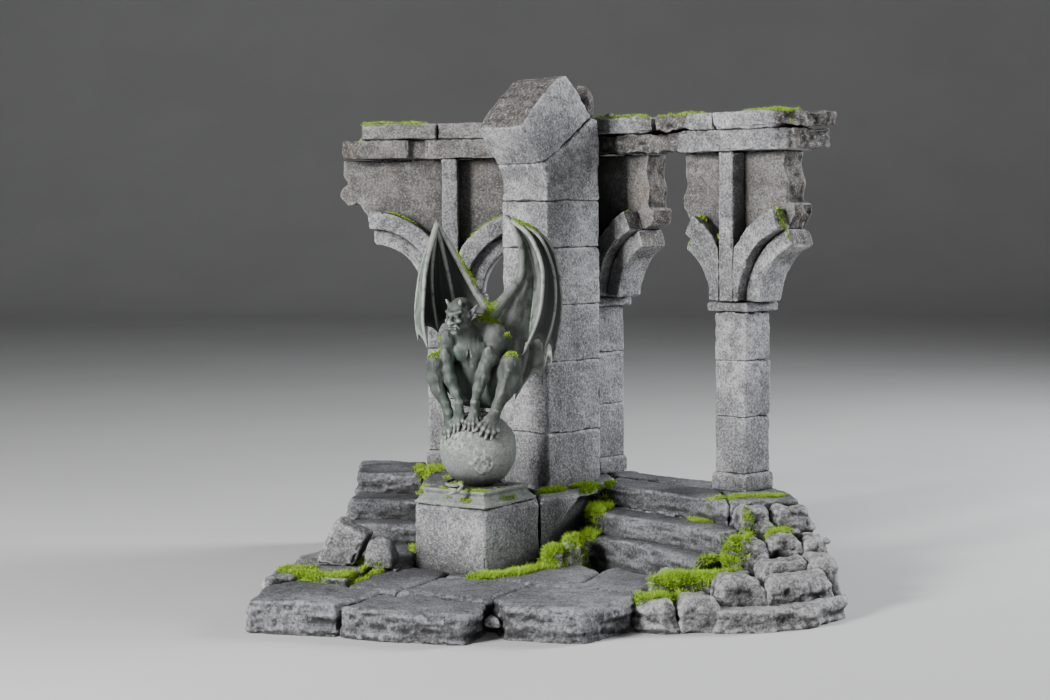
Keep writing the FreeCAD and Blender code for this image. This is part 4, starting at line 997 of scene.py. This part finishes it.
def finish_statue(name, points, faces, nodes, grain=0.05, sinew=0.24, shade=None):
    """Moves a sculpted piece onto the globe, roughens it, paints shade into its hollows and a
    highlight onto its faces turned to the light, and hands it to the frame.
    """
    edges = edges_of(faces)
    normals = vertex_normals(points, faces)
    sinews = 1.0 - np.abs(rumple(points * np.array((1.0, 1.0, 0.30), "f4"), 3.0, 2, 3))
    move = grain * rumple(points, 1.7, 3, 2) + sinew * (sinews - 0.8)
    points = points + normals * move[:, None]
    normals = vertex_normals(points, faces)
    stand = convexity(points, edges, normals, 4)
    near = relax(stand, edges, 12)
    length = float(np.linalg.norm(points[edges[:, 0]] - points[edges[:, 1]], axis=1).mean())
    # painted shade in the creases and hollows of the sculpt
    hollow_shade = step(0.02, 0.12, -(0.6 * stand + 1.6 * near) / length)
    # painted highlight on faces turned up towards the key light at the front left
    lit = 0.24 * step(0.25, 0.95, normals @ np.array((-0.45, -0.25, 0.86), "f4"))
    edge = 0.9 * step(0.03, 0.17, (0.6 * stand + 1.5 * near) / length)
    # on the wings the shade value paints shade on the hollow sides and, below 0, a painted
    # highlight on the other sides
    if shade is not None:
        hollow_shade = np.maximum(hollow_shade, shade)
        lit = np.maximum(lit, np.maximum(-shade, 0.0) * (0.5 + step(-0.1, 0.5, sinews - 0.5)))
        edge = edge * (1.0 - np.clip(shade, 0.0, 0.8))
    # the painted highlight joins the worn edges in the edge value, but not where shade is painted
    edge = np.maximum(edge, lit * (1.0 - hollow_shade))
    face = step(11.0, 8.0, np.linalg.norm(points - np.array(HEAD_CENTRE, "f4"), axis=1))
    values = {"edge": edge * (1.0 - 0.82 * face), "hollow_shade": hollow_shade}
    thing = mesh_object(name, points + GLOBE, faces, VERDIGRIS, values)
    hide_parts(*nodes)
    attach(thing, "statue")
    ground["statue"].append((points + GLOBE, quads_only(faces)))


def quads_only(faces):
    return faces if faces.shape[1] == 4 else np.concatenate([faces, faces[:, 2:]], axis=1)


body_points, body_faces = sculpt_body()
finish_statue("gargoyle_body", body_points, body_faces,
              ("gargoyle_torso", "gargoyle_head", "gargoyle_arms", "gargoyle_legs"))


def smooth_line(stations, count):
    """Points along a Catmull-Rom curve through the stations."""
    stations = np.array(stations, float)
    ends = np.vstack([2 * stations[0] - stations[1], stations, 2 * stations[-1] - stations[-2]])
    spots = np.linspace(0, len(stations) - 1, count)
    line = []
    for spot in spots:
        piece = min(int(spot), len(stations) - 2)
        part = spot - piece
        before, start, end, after = ends[piece:piece + 4]
        line.append(0.5 * (2 * start + (end - before) * part
                           + (2 * before - 5 * start + 4 * end - after) * part ** 2
                           + (3 * start - before - 3 * end + after) * part ** 3))
    line = np.array(line)
    reach = np.concatenate([[0], np.cumsum(np.linalg.norm(np.diff(line, axis=0), axis=1))])
    even = np.linspace(0, reach[-1], count)
    return np.stack([np.interp(even, reach, line[:, axis]) for axis in range(3)], axis=1)


def tube(line, radii, sides=10):
    """A round tube of quads along a line, closed by its narrow ends."""
    ahead = np.gradient(line, axis=0)
    ahead /= np.linalg.norm(ahead, axis=1, keepdims=True)
    first = np.cross(ahead, (0.13, 1.0, 0.21))
    first /= np.linalg.norm(first, axis=1, keepdims=True)
    second = np.cross(ahead, first)
    angles = np.linspace(0, 2 * math.pi, sides, endpoint=False)
    line = np.concatenate([line[:1], line, line[-1:]])
    first = np.concatenate([first[:1], first, first[-1:]])
    second = np.concatenate([second[:1], second, second[-1:]])
    radii = np.concatenate([[0.02], radii, [0.02]])
    rings = (line[:, None, :]
             + radii[:, None, None] * (np.cos(angles)[None, :, None] * first[:, None, :]
                                       + np.sin(angles)[None, :, None] * second[:, None, :]))
    return rings.reshape(-1, 3), grid_faces(len(line), sides, True)


def tail():
    """From the back of the hips down behind the globe, with its barbed end over the cap."""
    line = smooth_line([(2, 11, 31), (2, 24, 10), (0, 24.5, -8), (-8, 19.5, -17.5),
                        (-16.5, 10, -19.8), (-19, -2, -20), (-17, -13, -19.8),
                        (-12.5, -20.5, -18.8), (-9.6, -26, -17.6), (-9.4, -29.5, -19),
                        (-11.4, -31, -21.2)], 110)
    radii = np.interp(np.linspace(0, 1, 110), [0, 0.15, 0.5, 1.0], [3.4, 2.2, 1.2, 1.0])
    pieces = [tube(line, radii, 14)]
    root, tip = line[-1], np.array((-18.4, -30.6, -23.2))
    for barb in (tip, np.array((-16.6, -31.0, -19.2))):
        blade = smooth_line([root, (root + barb) / 2 + np.array((0, -0.5, 0.4)), barb], 16)
        pieces.append(tube(blade, np.interp(np.linspace(0, 1, 16), [0, 0.35, 1], [0.9, 1.3, 0.2])))
    points, faces, _ = joined([(*piece, {}) for piece in pieces])
    finish_statue("gargoyle_tail_worn", points, faces, ("gargoyle_tail",), sinew=0.05)


tail()

# ---- statue: wings


def membrane(first, second, billow, scallop, rows=46, columns=20, thickness=0.8):
    """A cupped sheet between two finger bones, with a scalloped free edge, as closed quads.

    Also gives 1 on its hollow side and 0 on its other side."""
    along = np.linspace(0, 1, rows)[:, None]
    across = np.linspace(0, 1, columns)[None, :]
    reach = 1.0 - scallop * np.sin(math.pi * across) ** 0.8
    spot = along * reach
    index = spot * (len(first) - 1)
    low = np.minimum(index.astype(int), len(first) - 2)
    part = (index - low)[..., None]
    line_one = first[low] * (1 - part) + first[low + 1] * part
    line_two = second[low] * (1 - part) + second[low + 1] * part
    share = np.broadcast_to(across, (rows, columns))[..., None]
    flat = (line_one * (1 - share) + line_two * share).reshape(-1, 3)
    cells = grid_faces(rows, columns, False)
    normals = vertex_normals(flat, cells)
    cup = np.sin(math.pi * share) * np.sin(math.pi * np.clip(spot, 0.02, 1.0) * 0.72)[..., None]
    pleats = 0.30 * np.sin(11.0 * share + 3.0 * spot[..., None]) * np.sin(math.pi * share)
    flat = flat + normals * (billow * cup + pleats).reshape(-1, 1)
    normals = vertex_normals(flat, cells)
    front, back = flat + normals * thickness / 2, flat - normals * thickness / 2
    rim = (list(range(columns))
           + [row * columns + columns - 1 for row in range(1, rows)]
           + [(rows - 1) * columns + column for column in range(columns - 2, -1, -1)]
           + [row * columns for row in range(rows - 2, 0, -1)])
    count = len(flat)
    sides = [(here, after, after + count, here + count)
             for here, after in zip(rim, rim[1:] + rim[:1])]
    faces = np.concatenate([cells, cells[:, ::-1] + count, np.array(sides)[:, ::-1]])
    hollow = np.concatenate([np.zeros(count), np.ones(count)])
    return np.concatenate([front, back]), faces, hollow


def build_wing(name, node, fingers, billows, arm, arm_radii, claws):
    """A wing from its finger bones, in order round its hollow, and the arm that carries it."""
    count = 44
    lines = [smooth_line(stations, count) for stations in fingers]
    parts = []
    for line in lines:
        radii = np.interp(np.linspace(0, 1, count), [0, 0.5, 0.92, 1], [1.5, 1.2, 0.85, 0.25])
        points, faces = tube(line, radii)
        parts.append((points, faces, {"shade": np.zeros(len(points))}))
    for first, second, billow in zip(lines, lines[1:], billows):
        points, faces, hollow = membrane(first, second, billow, 0.09)
        # each sheet's hollow side gets painted shade, and its other side a painted highlight from
        # the value below 0
        parts.append((points, faces, {"shade": 1.25 * hollow - 0.30}))
    arm_line = smooth_line(arm, 40)
    limbs = [tube(arm_line, np.interp(np.linspace(0, 1, 40), *arm_radii), 14)]
    for claw in claws:
        limbs.append(tube(smooth_line(claw, 12), np.linspace(1.5, 0.2, 12)))
    for points, faces in limbs:
        # the arm and its claws are darkened by 0.45 and lose most of their pale edges
        parts.append((points, faces, {"shade": np.full(len(points), 0.45)}))
    points, faces, values = joined(parts)
    finish_statue(name, points.astype("f4"), faces.astype("i4"), (node,), 0.04, 0.05,
                  values["shade"])


def wings():
    wrist = (-23.5, 7.5, 134.0)
    build_wing(
        "gargoyle_left_wing_worn", "gargoyle_left_wing",
        [[wrist, (-29.0, -8, 111), (-30.6, -13, 94.7), (-31.2, -14, 77), (-28.8, -10, 60.7)],
         [wrist, (-31.6, -1, 110), (-34.2, -3, 98), (-36.0, -3, 81.6), (-34.8, -1, 65)],
         [wrist, (-26.5, 8, 110.7), (-26.5, 9, 90.9), (-23.5, 9, 69)],
         [wrist, (-18.5, 11, 110.6), (-14.5, 12, 90.7), (-12.0, 10, 70)],
         [wrist, (-14.8, 10, 120), (-7, 10.5, 106), (1, 9, 92), (6, 7, 78)]],
        [1.2, 1.6, 2.4, 2.6],
        [(6.5, 5.0, 76), (7.8, 6, 80.6), (-0.7, 9, 94.1), (-8.6, 10, 107.8), (-16.4, 9, 122.2),
         wrist],
        ([0, 0.2, 0.6, 1.0], [4.2, 2.7, 2.1, 1.5]),
        [[(-22.8, 8.5, 132), (-23.6, 6.0, 136.6), (-23.4, 4.0, 139.0)],
         [(-2.0, 9, 92.6), (2.0, 8.5, 91.4), (6.6, 7.5, 90.6)]])
    wrist = (21.2, 4.0, 136.0)
    build_wing(
        "gargoyle_right_wing_worn", "gargoyle_right_wing",
        [[wrist, (31.8, -8, 126.4), (38.3, -16, 110.8), (38.8, -19, 94.4), (35.9, -19, 77.9),
          (28.2, -16, 59.2)],
         [wrist, (35.8, -3, 127.5), (43.8, -7, 111.5), (46.6, -9, 93.5), (44.6, -9, 75.5),
          (38.8, -7, 57.8)],
         [wrist, (37.4, 4, 127.8), (45.8, 6, 116), (49.6, 6, 95), (49.6, 5, 78),
          (44.6, 4, 50.5)],
         [wrist, (34.8, 11, 124.8), (41.5, 15, 111.5), (43.9, 16, 88.5), (41.5, 14, 61.3),
          (38.4, 10, 38.1)],
         [wrist, (28.2, 13, 124.6), (32.4, 17, 111.9), (34.3, 18, 96.7), (32.4, 16, 76.1),
          (29.4, 13, 52.1), (22.4, 9, 28.4)],
         [wrist, (26.8, 12, 118), (26.0, 12.3, 101), (18, 9.5, 88), (11.5, 8, 72), (12, 8, 50),
          (12.5, 8, 34)]],
        [1.0, 1.2, 1.4, 1.8, 2.2],
        [(7.5, 4.5, 74), (9.0, 5, 80.1), (17.4, 9, 90.2), (25.8, 12, 101.1), (27.2, 12, 112.6),
         (26.2, 10, 123.5), (22.8, 7, 131.9), wrist],
        ([0, 0.2, 0.5, 1.0], [4.8, 3.4, 2.4, 1.7]),
        [[(21.6, 4.5, 134.5), (19.6, 2.5, 138.0), (17.6, 1.0, 138.6)],
         [(30.2, -15, 64), (27.8, -16.5, 58.5), (26.2, -17.5, 57.2)],
         [(25.6, 12, 100), (22.5, 13.5, 98.6), (20.2, 14.5, 99.0)]])


wings()

# ---- where loose things land


def landing_tree(body):
    """A search tree over the worn surfaces of a body, in mm."""
    points, faces, _ = joined([(corners, quads_only(cells), {})
                               for corners, cells in ground[body]])
    return BVHTree.FromPolygons(points.tolist(), faces.tolist())


TREES = {body: landing_tree(body) for body in ground}


def drop(body, x, y, from_height):
    """Where something let go at (x, y, from_height) lands on a body, and the slope there."""
    hit, normal, _, _ = TREES[body].ray_cast(Vector((x, y, from_height)), Vector((0, 0, -1)))
    return hit, normal


# ---- rubble


def pebbles(name, body, spots, material=STONE):
    """Loose stones bedded a little into what they lie on: (x, y, from height, size) in mm."""
    parts = []
    for number, (x, y, height, across) in enumerate(spots):
        hit, _ = drop(body, x, y, height)
        if hit is None:
            continue
        points, faces = icosphere(1.0, 4)
        stretch = 0.75 + 0.5 * rng.random(3)
        stretch[2] *= 0.75
        points = chiselled(points, 9, number, 0.28)
        field = points + 9.7 * number
        bulge = 1.0 + 0.20 * rumple(field * 3.0, 3.0, 2, 1) + 0.08 * rumple(field * 3.0, 0.9, 2, 3)
        points = points * bulge[:, None] * stretch * across / 2
        points = points + np.array(hit) + np.array((0, 0, across * 0.16))
        normals = vertex_normals(points, faces)
        stand = convexity(points, edges_of(faces), normals, 1) / across * 12
        # the hollows of each pebble get painted shade
        parts.append((points, faces, {"edge": step(0.05, 0.35, stand - 0.12),
                                      "hollow_shade": step(0.0, 0.2, -stand),
                                      "broken": np.full(len(points), 0.3)}))
    points, faces, values = joined(parts)
    thing = mesh_object(name, points, faces, material, values)
    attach(thing, body)


def scattered(count, centre, spread, turn, sizes):
    """Random places round a line: (x, y, from height, size)."""
    cosine, sine = math.cos(math.radians(turn)), math.sin(math.radians(turn))
    spots = []
    for _ in range(count):
        along, across = rng.normal(size=2) * np.array(spread) * 0.5
        spots.append((centre[0] + cosine * along - sine * across,
                      centre[1] + sine * along + cosine * across, centre[2],
                      sizes[0] + (sizes[1] - sizes[0]) * rng.random() ** 2))
    return spots


def rubble():
    x, y = right_wall(-97, 8)
    pebbles("cornice_rubble", "right_arcade",
            [(x - 4, y + 3, 330, 8.5), (x + 1, y - 2, 330, 6.5), (x + 6, y - 6, 330, 5.0),
             (x - 8, y + 8, 330, 6.0)]
            + scattered(16, (x, y, 330), (22, 10), -45, (1.6, 4.0)))
    pebbles("gap_rubble", "base",
            scattered(26, (10, -28, 30), (16, 8), 45, (2.0, 7.0))
            + scattered(18, (22, -4, 40), (12, 6), 45, (2.0, 6.0))
            + scattered(10, (-104, -50, 34), (12, 8), 0, (1.8, 4.5)))


def bank_fill():
    """Small stones wedged between the rocks of the bank, and crumbs round the globe's foot."""
    low, high = box_of("bank_rocks_upper")
    middle = (low + high) / 2
    spots = []
    for _ in range(9):
        x, y = low[:2] + (high - low)[:2] * rng.random(2)
        spots.append((x, y, middle[2] + 60, 3.5 + 4.5 * rng.random()))
    pebbles("bank_fill", "base", spots)
    ring = []
    for _ in range(70):
        angle, reach = 2 * math.pi * rng.random(), 15.0 + 5.5 * rng.random()
        ring.append((GLOBE[0] + reach * math.cos(angle), GLOBE[1] + reach * math.sin(angle),
                     GLOBE[2] - GLOBE_RADIUS + 6.0, 0.7 + 1.4 * rng.random() ** 2))
    pebbles("globe_crumbs", "statue", ring, PANEL)


rubble()
bank_fill()

# ---- moss


def moss(name, body, patches, length=2.3, facing_up=-0.2):
    """Tufts of flock on a body: (x, y, from_height, half_x, half_y, turn, blades) per patch."""
    density = 1.0
    corners, tips = [], []
    for x, y, height, half_x, half_y, turn, blades in patches:
        cosine, sine = math.cos(math.radians(turn)), math.sin(math.radians(turn))
        clumps = rng.normal(size=(max(5, int(blades * density / 22)), 2)) * 0.46
        for clump in clumps:
            bushy = 0.55 + 0.9 * rng.random()
            for _ in range(30):
                across, along = clump + rng.normal(size=2) * 2.2 / max(half_x, half_y)
                if across * across + along * along > 1.2:
                    continue
                px = x + cosine * across * half_x - sine * along * half_y
                py = y + sine * across * half_x + cosine * along * half_y
                hit, normal = drop(body, px, py, height)
                if hit is None or normal.z < facing_up:
                    continue
                lean = unit(np.array(normal) * 0.6 + (0, 0, 0.55) + rng.normal(size=3) * 0.55)
                tall = length * bushy * (0.45 + 0.75 * rng.random())
                wide = unit(np.cross(lean, rng.normal(size=3))) * (0.13 + 0.12 * rng.random())
                foot = np.array(hit) - lean * 0.3
                bend = foot + lean * tall * 0.55 + rng.normal(size=3) * 0.14
                top = bend + unit(lean + rng.normal(size=3) * 0.5) * tall * 0.5
                corners.append((foot - wide, foot + wide, bend + wide * 0.8, bend - wide * 0.8,
                                top))
                tips.append((0, 0.1, 0.5, 0.5, 1))
    points = np.array(corners).reshape(-1, 3)
    starts = np.arange(len(corners))[:, None] * 5
    faces = np.concatenate([starts + np.array([[0, 1, 2]]), starts + np.array([[0, 2, 3]]),
                            starts + np.array([[3, 2, 4]])])
    thing = mesh_object(name, points, faces, MOSS, {"tip": np.array(tips, "f4").ravel()}, False)
    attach(thing, body)


BASE_MOSS = [
    ("moss_front_left", 2.8, [
        (-152, -60, 60, 12, 7, 30, 2200), (-143, -74, 60, 13, 7, -30, 3000),
        (-122, -80, 60, 13, 8, 20, 3600), (-108, -58, 26, 9, 6, 60, 1800),
        (-118, -30, 40, 9, 5, 60, 1200)]),
    ("moss_pedestal_foot", 2.9, [
        (-40, -73, 30, 13, 7, 10, 3800), (-22, -62, 30, 16, 7, 48, 4600),
        (-4, -44, 30, 17, 7, 48, 4400), (12, -28, 34, 13, 7, 48, 3000)]),
    ("moss_terrace", 2.8, [
        (-80, 122, 90, 12, 14, 0, 3200), (-84, 96, 90, 6, 12, 0, 1500),
        (-84, 26, 90, 7, 12, 0, 1500), (-62, 70, 90, 8, 6, 0, 500)]),
    ("moss_pier_foot", 2.6, [
        (-2, 12, 75, 11, 5, 42, 2200), (16, 26, 75, 8, 4, 42, 800),
        (32, 32, 75, 8, 6, 40, 2200)]),
    ("moss_gap", 4.0, [
        (27, 19, 75, 9, 9, 48, 3600), (23, 6, 60, 6, 8, 48, 2200), (19, -6, 50, 6, 8, 48, 2200),
        (12, -14, 44, 5, 6, 48, 1000)]),
    ("moss_landing", 2.2, [
        (106, -28, 75, 16, 5, 8, 2400), (126, -22, 75, 14, 5, 12, 1800),
        (86, -32, 50, 9, 4, -48, 1500), (128, -66, 60, 10, 8, 10, 1600)]),
    ("moss_bank", 3.0, [
        (54, -128, 40, 15, 9, 40, 6600), (74, -108, 40, 20, 12, 40, 9600),
        (94, -90, 45, 18, 11, 40, 7200), (110, -66, 60, 7, 5, 60, 1300)]),
]


def base_moss():
    for name, length, patches in BASE_MOSS:
        moss(name, "base", patches, length)


ARCADE_MOSS = [
    # arcade, its wall, turn, length, how level the ground is, patches with places over the wall
    ("left_arcade", left_wall, LEFT_TURN, 1.7, 0.2, [
        (-48, 16, 320, 13, 6, 1600), (-26, 19, 320, 16, 3, 600), (-34, 9, 256, 14, 3, 500),
        (24, 9, 256, 14, 3, 700)]),
    ("right_arcade", right_wall, RIGHT_TURN, 1.9, 0.1, [
        (-88, 12, 330, 24, 7, 2400), (-36, 14, 330, 18, 7, 2000), (36, 12, 330, 25, 8, 2800),
        (-30, 10, 262, 9, 3, 900), (38, 10, 262, 6, 3, 500), (-92, 10, 262, 8, 3, 800),
        (-7, 10, 256, 4, 3, 300)]),
]


def arcade_moss():
    for body, place, turn, length, level, patches in ARCADE_MOSS:
        moss("moss_" + body, body, [
            (*place(along, out), height, half_x, half_y, turn, blades)
            for along, out, height, half_x, half_y, blades in patches], length, level)


STATUE_MOSS = [
    # name, how level the ground is, patches with places from the globe's middle
    ("moss_statue", 0.15, [
        (-9, 9, 118, 4.5, 3, -60, 700), (-4, 9, 108, 4, 3, -60, 600),
        (30, 3, 145, 10, 7, -20, 1500), (6, 1, 90, 8, 6, 0, 1500), (-25, -9, 70, 4, 4, 0, 800),
        (20.4, -11, 70, 4.4, 4, 0, 900)]),
    ("moss_cap", 0.5, [
        (-16, -14, -5, 8, 4, -35, 900), (-3, -25, -5, 12, 3, -5, 900),
        (16, -14, -5, 8, 4, 50, 500)]),
]


def statue_moss():
    for name, level, patches in STATUE_MOSS:
        moss(name, "statue", [(*(GLOBE + patch[:3]), *patch[3:]) for patch in patches], 1.5, level)


base_moss()
arcade_moss()
statue_moss()

# ---- stage, light and camera


def stage_floor():
    """A plain pale floor that curves up into a plain wall far behind."""
    profile = [(-7.0, 0.0), (3.0, 0.0)]
    for stage in range(1, 13):
        turn = math.pi / 2 * stage / 12
        profile.append((3.0 + 1.6 * math.sin(turn), 1.6 * (1 - math.cos(turn))))
    profile.append((4.6, 7.0))
    mesh = bpy.data.meshes.new("floor")
    corners = [(x, y, z) for y, z in profile for x in (-9.0, 9.0)]
    loops = grid_faces(len(profile), 2, False).tolist()
    mesh.from_pydata(corners, [], loops)
    mesh.polygons.foreach_set("use_smooth", [True] * len(loops))
    n = Nodes("floor")
    colour = n.mix(n.ramp(n.noise(3.0, 3), 0.3, 0.7), (0.60, 0.60, 0.605), (0.64, 0.64, 0.645))
    mesh.materials.append(n.finish(colour, 0.75))
    floor = placed("floor", mesh)


def area_light(name, place, target, watts, across, tint=(1, 1, 1)):
    light = bpy.data.lights.new(name, "AREA")
    light.shape = "RECTANGLE"
    light.size, light.size_y = across
    light.energy = watts
    light.color = tint
    lamp = placed(name, light)
    lamp.location = place
    lamp.rotation_euler = (Vector(target) - Vector(place)).to_track_quat("-Z", "Y").to_euler()


def lights():
    aim = (0, 0, 0.15)
    area_light("key", (-1.05, -0.95, 0.62), aim, 38, (0.36, 0.36), (1.0, 0.995, 0.98))
    area_light("rim", (1.20, 0.35, 0.70), aim, 26, (0.45, 0.6), (0.96, 0.98, 1.0))
    area_light("fill", (0.3, -1.6, 0.5), aim, 2.5, (1.4, 1.0))
    area_light("top", (0, 0.3, 1.7), aim, 2, (1.2, 1.2))
    world = bpy.data.worlds.new("studio")
    world.use_nodes = True
    world.node_tree.nodes["Background"].inputs["Color"].default_value = (0.80, 0.81, 0.83, 1)
    world.node_tree.nodes["Background"].inputs["Strength"].default_value = 0.08
    bpy.context.scene.world = world


def camera():
    """Level with the middle of the arches, looking slightly down from the front."""
    eye = bpy.data.cameras.new("camera")
    eye.sensor_width = 36.0
    eye.lens = 67.8
    thing = placed("camera", eye)
    thing.location = (-0.0200, -1.2016, 0.2301)
    pitch, yaw, roll = math.radians(90 - 4.091), math.radians(-0.12), math.radians(-0.454)
    turn = Matrix.Rotation(yaw, 4, "Z") @ Matrix.Rotation(pitch, 4, "X")
    turn = turn @ Matrix.Rotation(roll, 4, "Z")
    thing.rotation_euler = turn.to_euler()
    bpy.context.scene.camera = thing


stage_floor()
lights()
camera()
